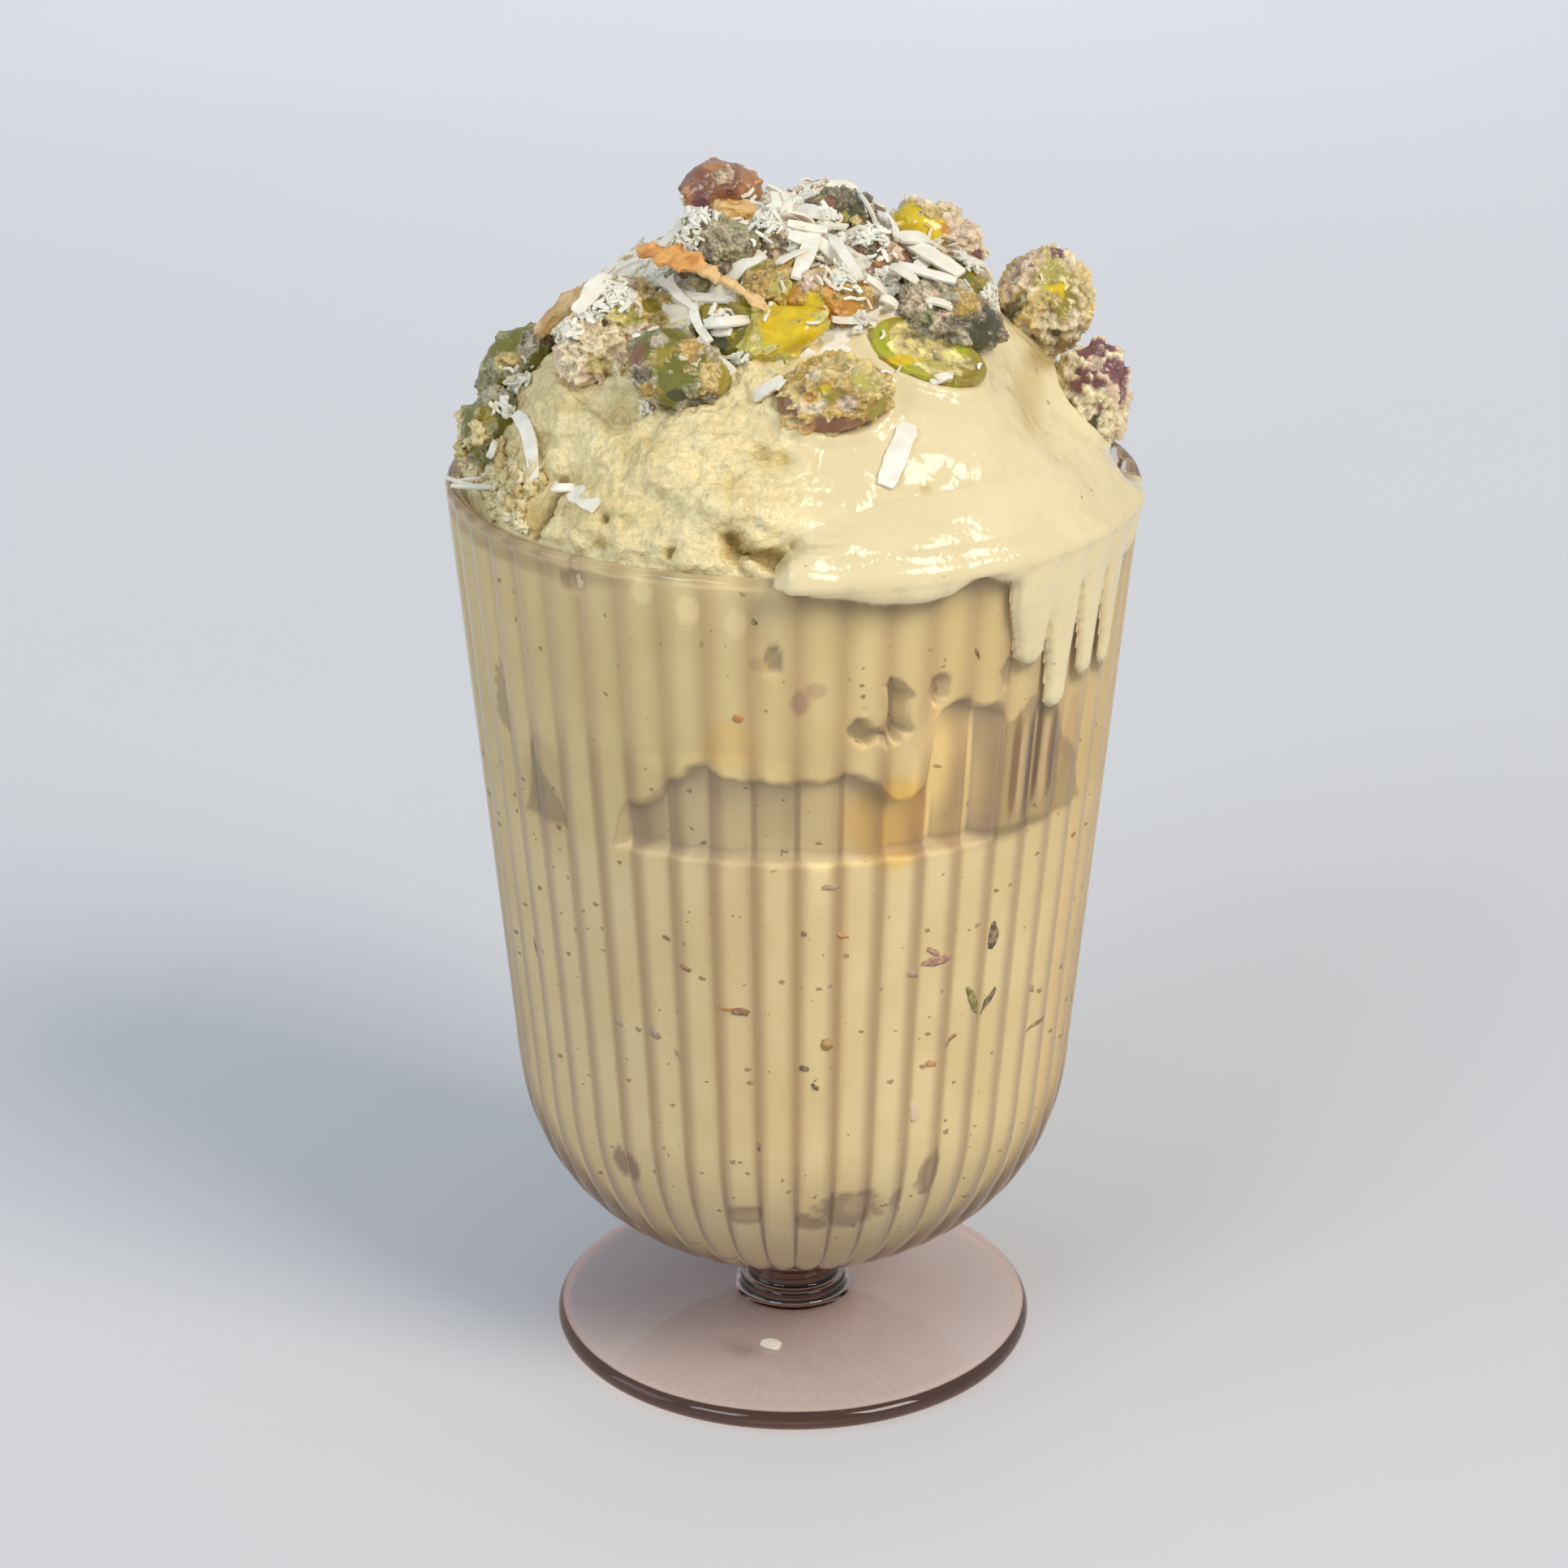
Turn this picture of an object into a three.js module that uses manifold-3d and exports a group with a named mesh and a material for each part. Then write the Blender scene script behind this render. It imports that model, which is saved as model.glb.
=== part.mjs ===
// A ribbed, footed glass heaped with pistachio ice cream, topped with candied pistachios, coconut
// shreds and toasted chips. Millimetres, +Z up, the front at -Y, and the foot's underside at z = 0.
import * as THREE from "three";
import { mergeVertices } from "three/addons/utils/BufferGeometryUtils.js";
import Module from "manifold-3d";

const wasm = await Module();
wasm.setup();

// Driving dimensions of the glass
const RIM_RADIUS = 43.4;
const GLASS_HEIGHT = 119.4;
const WALL_START_HEIGHT = 44; // the straight wall stands on the round bottom from here up
const WALL_START_RADIUS = 36.4;
const WALL_START_INSIDE = 34.2;
const RIM_INSIDE = 41.5;
const RIM_ROUND = 0.9;
const CAVITY_FLOOR = 16;
const RIB_COUNT = 48;
const RIB_DEPTH = 0.8;
const GROOVE_SHARE = 0.1; // a column this near a rib's edge, in ribs, lies in the groove
const STEM_RADIUS = 5.9;
const STEM_OVERLAP = 2; // how far the stem runs up into the bowl's base
const BOWL_UNDERSIDE = 11.5;
const BEAD_HEIGHT = 6;
const BEAD_RADIUS = 7.1;
const FOOT_RADIUS = 31.8;
const FOOT_EDGE = 2.8; // thickness of the foot's rounded edge
const FOOT_CENTRE = 4.8; // height of the foot's upper face at the stem

// Driving dimensions of the filling
const GAP = 0.3; // clearance between neighbouring pieces
const DOME_CENTRE = 102.4; // height of the centre that the heap's rounded top is measured from
const DOME_REACH = 44.6;
const DOME_EDGE_LEAN = 68; // degrees from the vertical at which the dome meets the wall
const SHELF_HEIGHT = 82; // level top of the lower ice cream, which shows through the glass
const ROUGHNESS = 0.5; // height of the ripples on the firm side of the heap
const POCKET_DEPTH = 4.5; // how far the air pockets above the shelf go in
const BOTTOM_DENT_DEPTH = 1.6;
const MELT_THICKNESS = 1.6; // of the melted ice cream that hangs over the rim
const DRIP_THICKNESS = 1.2;
const DRIP_TOP = 114;
const COCONUT_DEPTH = 3.8;
const COCONUT_EDGE_LEAN = 33;

const DEGREE = Math.PI / 180;

// Materials, in the colours of the real thing
const glassMaterial = new THREE.MeshStandardMaterial({
  color: 0xa8978d,
  roughness: 0.05,
  metalness: 0,
  transparent: true,
  opacity: 0.35,
});
const plainMaterial = (color, roughness) =>
  new THREE.MeshStandardMaterial({ color, roughness, metalness: 0 });
const iceCreamMaterial = plainMaterial(0xe6d9a8, 0.4);
const coconutMaterial = plainMaterial(0xf0ede4, 0.8);
const chipMaterial = plainMaterial(0xd9a25a, 0.7);
const pistachioColours = {
  green: 0x8b8a3a,
  yellow: 0xc9b41f,
  dark: 0x55523a,
  brown: 0x7d5a42,
  sugar: 0xcdbd98,
};

// Moves every vertex of a geometry in place: move(point) changes the point that it is given
function reshape(geometry, move) {
  const place = geometry.getAttribute("position");
  const point = new THREE.Vector3();
  for (let i = 0; i < place.count; i++) {
    point.fromBufferAttribute(place, i);
    move(point);
    place.setXYZ(i, point.x, point.y, point.z);
  }
  return geometry;
}

// A closed geometry as a solid that can be joined and cut
function solid(geometry) {
  const bare = geometry.clone();
  bare.deleteAttribute("normal");
  bare.deleteAttribute("uv");
  const merged = mergeVertices(bare, 1e-4);
  const corners = merged.index.array;
  const kept = [];
  for (let i = 0; i < corners.length; i += 3) {
    const [a, b, c] = [corners[i], corners[i + 1], corners[i + 2]];
    if (a !== b && b !== c && c !== a) kept.push(a, b, c);
  }
  return new wasm.Manifold(
    new wasm.Mesh({
      numProp: 3,
      vertProperties: merged.getAttribute("position").array,
      triVerts: new Uint32Array(kept),
    }),
  );
}

// The biggest body of a solid, without the loose scraps that a cut can leave
function mainBody(cut) {
  return cut.decompose().reduce((big, next) => (next.volume() > big.volume() ? next : big));
}

function without(body, neighbours) {
  return mainBody(neighbours.reduce((left, next) => left.subtract(next), body));
}

function mesh(name, body, material) {
  const { vertProperties, triVerts } = body.getMesh();
  const geometry = new THREE.BufferGeometry();
  geometry.setAttribute("position", new THREE.BufferAttribute(vertProperties, 3));
  geometry.setIndex(new THREE.BufferAttribute(triVerts, 1));
  geometry.computeVertexNormals();
  const made = new THREE.Mesh(geometry, material);
  made.name = name;
  return made;
}

// Turns an outline of [radius, height] pairs about the vertical axis, azimuth 0 at the front
function revolve(outline, columns) {
  const points = outline.map(([radius, height]) => new THREE.Vector2(radius, height));
  return new THREE.LatheGeometry(points, columns).rotateX(Math.PI / 2);
}

const azimuthOf = (point) => Math.atan2(point.x, -point.y) / DEGREE;

// The point at a radius, azimuth in degrees and height
function around(radius, azimuth, height) {
  return new THREE.Vector3(
    radius * Math.sin(azimuth * DEGREE),
    -radius * Math.cos(azimuth * DEGREE),
    height,
  );
}

// Outline of the round bottom from the axis to the straight wall, as a cubic curve
function bottomOutline(start, first, second, end, steps) {
  const curve = new THREE.CubicBezierCurve(
    new THREE.Vector2(...start),
    new THREE.Vector2(...first),
    new THREE.Vector2(...second),
    new THREE.Vector2(...end),
  );
  return curve.getPoints(steps).map((point) => [point.x, point.y]);
}

// Glass
const wallSlope = (RIM_RADIUS - WALL_START_RADIUS) / (GLASS_HEIGHT - WALL_START_HEIGHT);
const outerRadius = (height) => RIM_RADIUS - wallSlope * (GLASS_HEIGHT - height);
const insideSlope = (RIM_INSIDE - WALL_START_INSIDE) / (GLASS_HEIGHT - WALL_START_HEIGHT);
const innerRadius = (height) => RIM_INSIDE - insideSlope * (GLASS_HEIGHT - height);

function ribbedBowl() {
  const columnsPerRib = 3;
  const outline = [
    [0, BOWL_UNDERSIDE],
    ...bottomOutline([STEM_RADIUS, BOWL_UNDERSIDE], [25.5, 18], [35.4, 25],
      [WALL_START_RADIUS, WALL_START_HEIGHT], 5),
    [outerRadius(GLASS_HEIGHT - RIM_ROUND), GLASS_HEIGHT - RIM_ROUND],
    [RIM_RADIUS - RIM_ROUND, GLASS_HEIGHT],
    [0, GLASS_HEIGHT],
  ];
  // Each rib is a flute with a narrow groove beside it, shallower towards the stem
  return reshape(revolve(outline, RIB_COUNT * columnsPerRib), (point) => {
    const radius = Math.hypot(point.x, point.y);
    const rib = (azimuthOf(point) * RIB_COUNT) / 360;
    const inGroove = Math.abs(rib - Math.round(rib)) < GROOVE_SHARE;
    if (!inGroove || radius === 0) return;
    const depth = RIB_DEPTH * Math.min(1, radius / WALL_START_RADIUS);
    point.x *= 1 - depth / radius;
    point.y *= 1 - depth / radius;
  });
}

function cavity() {
  return revolve([
    ...bottomOutline([0, CAVITY_FLOOR], [19, CAVITY_FLOOR + 0.2], [33.6, 25.5],
      [WALL_START_INSIDE, WALL_START_HEIGHT], 6),
    [innerRadius(GLASS_HEIGHT - RIM_ROUND), GLASS_HEIGHT - RIM_ROUND],
    [RIM_RADIUS - RIM_ROUND, GLASS_HEIGHT + GAP],
    [0, GLASS_HEIGHT + GAP],
  ], RIB_COUNT);
}

function stemAndFoot() {
  const beadRound = BEAD_RADIUS - STEM_RADIUS;
  return revolve([
    [0, 0],
    [FOOT_RADIUS - FOOT_EDGE / 3, 0],
    [FOOT_RADIUS, FOOT_EDGE / 3],
    [FOOT_RADIUS, (FOOT_EDGE * 2) / 3],
    [FOOT_RADIUS - FOOT_EDGE / 3, FOOT_EDGE],
    [FOOT_RADIUS * 0.6, (FOOT_EDGE + FOOT_CENTRE) / 2],
    [BEAD_RADIUS + beadRound, FOOT_CENTRE],
    [BEAD_RADIUS, BEAD_HEIGHT - beadRound / 2],
    [BEAD_RADIUS, BEAD_HEIGHT + beadRound / 2],
    [STEM_RADIUS, BEAD_HEIGHT + beadRound],
    [STEM_RADIUS, BOWL_UNDERSIDE + STEM_OVERLAP / 2],
    [STEM_RADIUS - STEM_OVERLAP / 2, BOWL_UNDERSIDE + STEM_OVERLAP],
    [0, BOWL_UNDERSIDE + STEM_OVERLAP],
  ], RIB_COUNT);
}

// Heap of ice cream: lumps and hollows on a rounded top, each at an azimuth and a lean from the
// vertical in degrees, with its height and its spread
const LUMPS = [
  { azimuth: 0, lean: 0, height: 3, spread: 24 }, // crown under the toppings
  { azimuth: -58, lean: 44, height: 2.2, spread: 13 }, // rounded scoop edge at the left
  { azimuth: -14, lean: 56, height: 1.4, spread: 10 }, // bulge below the spoon mark
  { azimuth: -32, lean: 58, height: 1, spread: 9 },
  { azimuth: 34, lean: 54, height: 1.6, spread: 15 }, // smooth melted front right
  { azimuth: 68, lean: 47, height: -2, spread: 8 }, // valley beside the crusted pistachios
  { azimuth: 88, lean: 58, height: 1, spread: 10 },
  { azimuth: 122, lean: 67, height: -5, spread: 17 }, // hollow that leaves the back right wall bare
  { azimuth: -74, lean: 66, height: -2.5, spread: 9 }, // crumbly gap at the left of the rim
  { azimuth: 175, lean: 50, height: 1.2, spread: 18 },
  { azimuth: -130, lean: 48, height: 1.5, spread: 14 },
];

function domeReach(azimuth, lean) {
  const towards = direction(azimuth, lean);
  let reach = DOME_REACH;
  for (const lump of LUMPS) {
    const apart = towards.angleTo(direction(lump.azimuth, lump.lean)) / DEGREE;
    reach += lump.height * Math.exp(-((apart / lump.spread) ** 2));
  }
  // The surface is rough away from the melted side, which faces azimuth 40
  const rough = ROUGHNESS * Math.max(0, Math.sin((40 - azimuth) * 0.5 * DEGREE));
  const ripple = Math.sin(azimuth * 0.21) * Math.sin(lean * 0.33 + azimuth * 0.05);
  return reach + rough * ripple * Math.min(1, lean / 20);
}

function direction(azimuth, lean) {
  return around(Math.sin(lean * DEGREE), azimuth, Math.cos(lean * DEGREE));
}

// The point on the heap's surface, raised by a height
function onDome(azimuth, lean, raised = 0) {
  return direction(azimuth, lean)
    .multiplyScalar(domeReach(azimuth, lean) + raised)
    .add(new THREE.Vector3(0, 0, DOME_CENTRE));
}

// Height of the air pockets above the level top of the lower ice cream, at each azimuth
const POCKET_RISE = [
  [-180, 4], [-150, 10], [-128, 3], [-118, 0], [-100, 0], [-92, 8], [-80, 9], [-66, 0],
  [-55, 0], [-50, 9], [-43, 10], [-39, 0], [-33, 0], [-31, 7], [-23, 9], [-18, 13],
  [-12, 11.5], [8, 11.5], [14, 12], [20, 8], [24, 9], [27, 20], [33, 21], [39, 14],
  [50, 15], [60, 14], [72, 0], [96, 0], [108, 11], [132, 8], [150, 0], [180, 4],
];

// The value at an azimuth, between the [azimuth, value] pairs of an edge
function valueAt(edge, azimuth) {
  const next = Math.max(1, edge.findIndex(([place]) => place >= azimuth - 1e-6));
  const [fromPlace, fromValue] = edge[next - 1];
  const [toPlace, toValue] = edge[next];
  return THREE.MathUtils.mapLinear(azimuth, fromPlace, toPlace, fromValue, toValue);
}

// Dents that the glass shows near the bottom: azimuth, height, half width and half height
const BOTTOM_DENTS = [
  [12, 32.5, 11, 3.2],
  [-12, 32, 5, 2],
  [33, 36, 5, 2.5],
];

function dentDepth(azimuth, height) {
  let depth = 0;
  const rise = height - SHELF_HEIGHT;
  const inside = Math.min(rise, valueAt(POCKET_RISE, azimuth) - rise);
  if (inside > 0) depth = POCKET_DEPTH * Math.min(1, inside / 1.5 + 0.3);
  for (const [place, middle, halfWidth, halfHeight] of BOTTOM_DENTS) {
    const away = Math.hypot((azimuth - place) / halfWidth, (height - middle) / halfHeight);
    if (away < 1) depth = Math.max(depth, BOTTOM_DENT_DEPTH);
  }
  return depth;
}

// Filling with its domed top, grown outwards at the top where a neighbour needs clearance
function filling(grown) {
  const columns = 42;
  const outline = bottomOutline(
    [0, CAVITY_FLOOR + GAP], [19, CAVITY_FLOOR + 0.5], [33.6 - GAP, 25.5],
    [WALL_START_INSIDE - GAP, WALL_START_HEIGHT], 6,
  );
  for (const rise of [-0.1, 0.6, 3.5, 6, 8.5, 11, 13.5, 16, 19, 22, 35]) {
    const height = SHELF_HEIGHT + rise;
    outline.push([innerRadius(height) - GAP, height]);
  }
  for (const lean of [DOME_EDGE_LEAN, 62, 55, 48, 41, 34, 26, 17, 8, 0]) {
    outline.push([
      DOME_REACH * Math.sin(lean * DEGREE),
      DOME_CENTRE + DOME_REACH * Math.cos(lean * DEGREE),
    ]);
  }
  const wallTop = 118;
  return reshape(revolve(outline, columns), (point) => {
    const azimuth = azimuthOf(point);
    const radius = Math.hypot(point.x, point.y);
    if (point.z < wallTop) {
      const depth = dentDepth(azimuth, point.z);
      if (depth > 0) point.copy(around(radius - depth, azimuth, point.z));
      return;
    }
    const lean = Math.atan2(radius, point.z - DOME_CENTRE) / DEGREE;
    point.copy(onDome(azimuth, lean, grown));
    const spread = Math.hypot(point.x, point.y);
    const limit = innerRadius(GLASS_HEIGHT) - GAP;
    if (point.z < GLASS_HEIGHT + 1 && spread > limit) {
      point.copy(around(limit, azimuth, point.z));
    }
  });
}

// Melted ice cream over the rim, front right: how far down the outside it has run
const MELT_START = -4;
const MELT_END = 82;
const MELT_EDGE = [
  [-4, 0.6], [0, 1.4], [8, 2.6], [15, 3.4], [22, 3.4], [30, 2.2], [36, 3.6], [41, 9], [45, 5],
  [49, 9], [53, 6], [57, 9], [61, 7], [66, 9], [70, 5], [76, 2], [82, 0.6],
];

function meltOverRim() {
  const outside = RIM_RADIUS + GAP;
  const over = GLASS_HEIGHT + GAP;
  const lip = over - 0.6; // heights below this one stand for a share of the run down the wall
  const section = new THREE.Shape(
    [
      [37, over + 0.5], [39.8, over], [outside - 0.4, over], [outside, lip], [outside, lip - 1],
      [outside + MELT_THICKNESS * 0.6, lip - 0.9], [outside + MELT_THICKNESS, lip - 0.3],
      [outside + MELT_THICKNESS, lip + 1.2],
      [43.4, 122.4], [41, 125], [36, 127],
    ].map(([radius, height]) => new THREE.Vector2(radius, height)),
  );
  const steps = 21;
  const band = new THREE.ExtrudeGeometry(section, { depth: 1, steps, bevelEnabled: false });
  return reshape(band, (point) => {
    const azimuth = MELT_END - point.z * (MELT_END - MELT_START);
    const fade = Math.min(1, (azimuth - MELT_START) / 8 + 0.25, (MELT_END - azimuth) / 20 + 0.25);
    const film = fade * THREE.MathUtils.clamp((62 - azimuth) / 25, 0.35, 1);
    let radius = point.x;
    let height = point.y;
    if (radius > outside) radius = outside + (radius - outside) * film;
    if (height > over) height = over + (height - over) * Math.max(film, 0.6);
    if (height < lip) {
      height = lip - (lip - height) * valueAt(MELT_EDGE, azimuth);
      radius -= wallSlope * (lip - height);
    }
    point.copy(around(radius, azimuth, height));
  });
}

// Drips on the outside of the wall: azimuth, lower end, width
const DRIPS = [
  [41.5, 105.5, 4.6],
  [49, 98.4, 3.8],
  [57, 101, 4],
  [64.5, 100.5, 4],
];

function drip([azimuth, lowerEnd, width]) {
  const length = DRIP_TOP - lowerEnd - width;
  const middle = (DRIP_TOP + lowerEnd) / 2;
  return new THREE.CapsuleGeometry(width / 2, length, 2, 7)
    .rotateX(Math.PI / 2)
    .scale(1, DRIP_THICKNESS / width, 1)
    .rotateX(Math.atan(wallSlope))
    .translate(0, -(outerRadius(middle) + GAP + DRIP_THICKNESS / 2), middle)
    .rotateZ(azimuth * DEGREE);
}

// A strip such as a coconut shred, bowed between two ends
function strip({ from, to, width, thickness, bow = 0.6, steps = 3 }, grown = 0) {
  const start = new THREE.Vector3(...from);
  const end = new THREE.Vector3(...to);
  const out = start.clone().add(end).multiplyScalar(0.5).sub(new THREE.Vector3(0, 0, DOME_CENTRE));
  const long = end.clone().sub(start);
  const along = long.clone().normalize();
  const up = out.normalize().addScaledVector(along, -out.dot(along)).normalize();
  const across = along.clone().cross(up);
  const bar = new THREE.BoxGeometry(
    width + 2 * grown,
    long.length() + 2 * grown,
    thickness + 2 * grown,
    1,
    steps,
    1,
  );
  const basis = new THREE.Matrix4().makeBasis(across, along, up);
  reshape(bar, (point) => {
    const share = point.y / (long.length() / 2);
    point.z += bow * (1 - share * share);
    point.x *= 1 - 0.2 * Math.abs(share);
  });
  return bar.applyMatrix4(basis).translate(...start.lerp(end, 0.5).toArray());
}

// A candied pistachio: an uneven oval kernel with its long axis along a direction, or an open
// half with its flat face up, under a lumpy crust of sugar
function pistachio({ at, along, up, size, crust = 0.1, open = false }, index, grown = 0) {
  const [length, width, thickness] = size;
  const centre = new THREE.Vector3(...at);
  const long = new THREE.Vector3(...along).normalize();
  const face = up
    ? new THREE.Vector3(...up)
    : centre.clone().sub(new THREE.Vector3(0, 0, DOME_CENTRE));
  face.addScaledVector(long, -face.dot(long)).normalize();
  const side = long.clone().cross(face);
  const kernel = new THREE.SphereGeometry(1, 8, 5);
  reshape(kernel, (point) => {
    const { x, y, z } = point;
    const lumps = Math.sin(4.1 * x + 1.7 * index) + Math.sin(3.7 * y + 2.3 * index + 2 * z);
    const swell = 1 + (crust * lumps) / 2;
    const taper = 1 - 0.14 * y;
    point.set(
      x * taper * swell * (width / 2 + grown),
      y * (length / 2 + grown),
      z * taper * swell * (thickness / 2 + grown),
    );
    if (open) point.z = Math.min(point.z, thickness * 0.12 + grown);
  });
  const basis = new THREE.Matrix4().makeBasis(side, long, face);
  return kernel.applyMatrix4(basis).translate(...at);
}

const TO_FRONT = [0, -1, 0.25];
const PISTACHIOS = [
  { at: [-9, 6, 153.3], along: [1, 0, 0.1], size: [10, 8.5, 7], look: "brown" },
  { at: [5.6, -1, 151.3], along: [0.6, 0.8, 0], size: [11, 7.5, 7], look: "dark" },
  { at: [17.6, -1, 149.3], along: [0.86, 0.1, -0.5], size: [12, 7, 6.6], look: "yellow" },
  { at: [31.1, 4, 139.8], along: [0.1, 0, 1], up: TO_FRONT, size: [13.2, 10, 9], look: "sugar",
    crust: 0.2 },
  { at: [36, -3, 129.8], along: [0.32, 0.1, 0.95], up: TO_FRONT, size: [13.2, 11, 9.5],
    look: "sugar", crust: 0.16 },
  { at: [18.6, -15, 142.8], along: [0.9, 0.1, -0.4], size: [13.4, 8, 7], look: "dark" },
  { at: [19.6, -9, 145.1], along: [0.9, 0.2, -0.3], size: [9.5, 6.5, 5.5], look: "green" },
  { at: [15.7, -20.8, 139.8], along: [0.94, 0, -0.33], size: [14.6, 9, 6], look: "green",
    crust: 0.04, open: true },
  { at: [4.6, -29.7, 137.5], along: [0.98, 0, 0.15], size: [13.4, 10, 6.5], look: "green" },
  { at: [-1.9, -22, 142.9], along: [0.93, 0, 0.3], size: [12.5, 7, 5.5], look: "yellow", crust: 0.04 },
  { at: [4, -18, 145.7], along: [0.95, 0, -0.1], size: [10.5, 7.5, 7], look: "yellow" },
  { at: [-2.7, -16.5, 146.3], along: [0.7, 0.2, 0.7], size: [9, 7.5, 7], look: "yellow" },
  { at: [-13.3, -25.8, 139.5], along: [0.93, 0, -0.3], size: [12.6, 9.5, 7.5], look: "dark" },
  { at: [-23.2, -17.5, 139], along: [0.8, 0.1, -0.3], size: [9.5, 7.5, 6.5], look: "sugar",
    crust: 0.2 },
  { at: [-19.8, -13.5, 142.8], along: [0.95, 0, -0.1], size: [12, 8, 7], look: "brown" },
  { at: [-9, -11, 149.6], along: [0.8, 0.2, -0.4], size: [10, 9, 8.5], look: "dark", crust: 0.16 },
  { at: [-2, -8, 150.1], along: [0.9, 0.3, 0.2], size: [8, 7, 6], look: "brown" },
  { at: [-8, -21.4, 143], along: [1, 0, 0.2], size: [8.5, 7, 6.5], look: "green" },
  { at: [10.8, -10, 147.6], along: [0.6, 0.3, -0.6], size: [9.5, 7, 6.5], look: "brown" },
  { at: [-33.8, -5.1, 134.4], along: [0.7, 0.1, 0.7], up: TO_FRONT, size: [11, 7.5, 7.5],
    look: "dark", crust: 0.16 },
  { at: [-36.2, -9.5, 127.8], along: [0.3, -0.2, 0.9], up: TO_FRONT, size: [10, 7.5, 7],
    look: "green", crust: 0.16 },
  { at: [15.6, 17.5, 139.6], along: [0.8, -0.5, -0.3], size: [12, 8.5, 7], look: "green" },
  { at: [-18, 16.5, 139.5], along: [0.5, 0.8, -0.2], size: [12.5, 8.5, 7], look: "yellow" },
  { at: [1, 28, 138], along: [1, 0.1, 0.1], size: [12.5, 9, 7], look: "sugar", crust: 0.16 },
  { at: [3, 15.5, 147.6], along: [0.8, 0.4, 0.1], size: [11, 8, 7], look: "brown" },
];

// Toasted chips: two slivers and a chunk
const CHIPS = [
  { from: [-17.3, -13.5, 150], to: [-3.2, -25.5, 146.8], width: 2.6, thickness: 1.3, bow: 1.6 },
  { from: [-31, -7, 138.8], to: [-24.1, -9, 144.8], width: 3.6, thickness: 1.6, bow: 0.4 },
  { from: [-9.6, -0.4, 152.7], to: [-4.6, -1.4, 151.8], width: 3.8, thickness: 1.6, bow: 0.3 },
];

// Coconut shreds that lie on the ice cream
const FLAKES = [
  { from: onDome(14.2, 54.8, 0.2), to: onDome(27.6, 45.4, 0.2), width: 2.8, thickness: 0.7 },
  { from: onDome(-69.6, 52, 0.4), to: onDome(-51.8, 59.6, 0.3), width: 1.6, thickness: 0.9 },
  { from: onDome(-9.2, 40.5, 0.3), to: onDome(-1, 36, 0.3), width: 2.4, thickness: 0.7 },
  { from: onDome(-46, 59.5, 0.3), to: onDome(-37, 61.5, 0.3), width: 1.8, thickness: 0.8 },
];

// Long coconut shreds that stand out of the bed
const SHREDS = [
  { from: [-7.4, -19, 148.3], to: [-3.2, -13.4, 150.9], width: 2.4, thickness: 0.7 },
  { from: [0, -17, 149], to: [2.6, -9.6, 152.6], width: 2, thickness: 0.8 },
  { from: [0.6, -10.8, 152.4], to: [10.9, -16, 145.9], width: 1.8, thickness: 0.8 },
  { from: [3, -12.6, 151.4], to: [8, -14.6, 148.9], width: 2.6, thickness: 0.7 },
  { from: [12.6, -6.4, 150.1], to: [19.5, -12, 147.7], width: 2, thickness: 0.8 },
  { from: [13.6, -13, 147.4], to: [16.4, -6, 149.6], width: 2, thickness: 0.8 },
];

// Bed of coconut shreds that fills the heap between the pistachios
function coconutBed() {
  const columns = 15;
  const edge = COCONUT_EDGE_LEAN;
  const leans = [0, edge * 0.5, edge, edge * 0.92, edge * 0.7, edge * 0.45, edge * 0.2, 0];
  const outline = leans.map((lean, row) => [
    DOME_REACH * Math.sin(lean * DEGREE),
    DOME_CENTRE + (DOME_REACH + row * 0.01) * Math.cos(lean * DEGREE),
  ]);
  const lowRows = DOME_REACH + 0.025;
  return reshape(revolve(outline, columns), (point) => {
    const azimuth = azimuthOf(point);
    const radius = Math.hypot(point.x, point.y);
    const rise = point.z - DOME_CENTRE;
    const lean = Math.atan2(radius, rise) / DEGREE;
    const low = Math.hypot(radius, rise) < lowRows && rise < lowRows * Math.cos(lean * DEGREE);
    const share = 1 - (lean / edge) ** 2;
    const tufts = 0.7 * Math.sin(azimuth * 0.2 + lean) * Math.cos(lean * 0.9);
    point.copy(onDome(azimuth, lean, low ? -1.5 : 1 + (COCONUT_DEPTH - 1) * share + tufts * share));
  });
}

// Assembly: each piece is cut back from the pieces it leans against
const kernels = [];
const clearance = [];
PISTACHIOS.forEach((kernel, index) => {
  kernels.push(without(solid(pistachio(kernel, index)), clearance));
  clearance.push(solid(pistachio(kernel, index, GAP)));
});
const chips = CHIPS.map((chip) => without(solid(strip(chip)), clearance));
const toppings = [...clearance, ...CHIPS.map((chip) => solid(strip(chip, GAP)))];

const glass = solid(ribbedBowl()).add(solid(stemAndFoot())).subtract(solid(cavity()));

let iceCream = solid(filling(0)).add(solid(meltOverRim()));
for (const run of DRIPS) iceCream = iceCream.add(solid(drip(run)));
for (const flake of FLAKES) iceCream = iceCream.add(solid(strip(flake)));
iceCream = without(iceCream, toppings);

let coconut = solid(coconutBed());
for (const shred of SHREDS) coconut = coconut.add(solid(strip(shred)));
coconut = without(coconut, [...toppings, solid(filling(GAP))]);

const dessert = new THREE.Group();
dessert.add(mesh("glass", glass, glassMaterial));
dessert.add(mesh("ice_cream", iceCream, iceCreamMaterial));
dessert.add(mesh("coconut", coconut, coconutMaterial));
kernels.forEach((kernel, index) => {
  const number = String(index + 1).padStart(2, "0");
  const color = pistachioColours[PISTACHIOS[index].look];
  dessert.add(mesh(`pistachio_${number}`, kernel, plainMaterial(color, 0.6)));
});
chips.forEach((chip, index) => dessert.add(mesh(`toasted_chip_${index + 1}`, chip, chipMaterial)));

export default dessert;
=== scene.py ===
import math
import random
from contextlib import contextmanager

import bpy
import numpy as np
from mathutils import Matrix, Vector, noise
from mathutils.bvhtree import BVHTree


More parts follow.
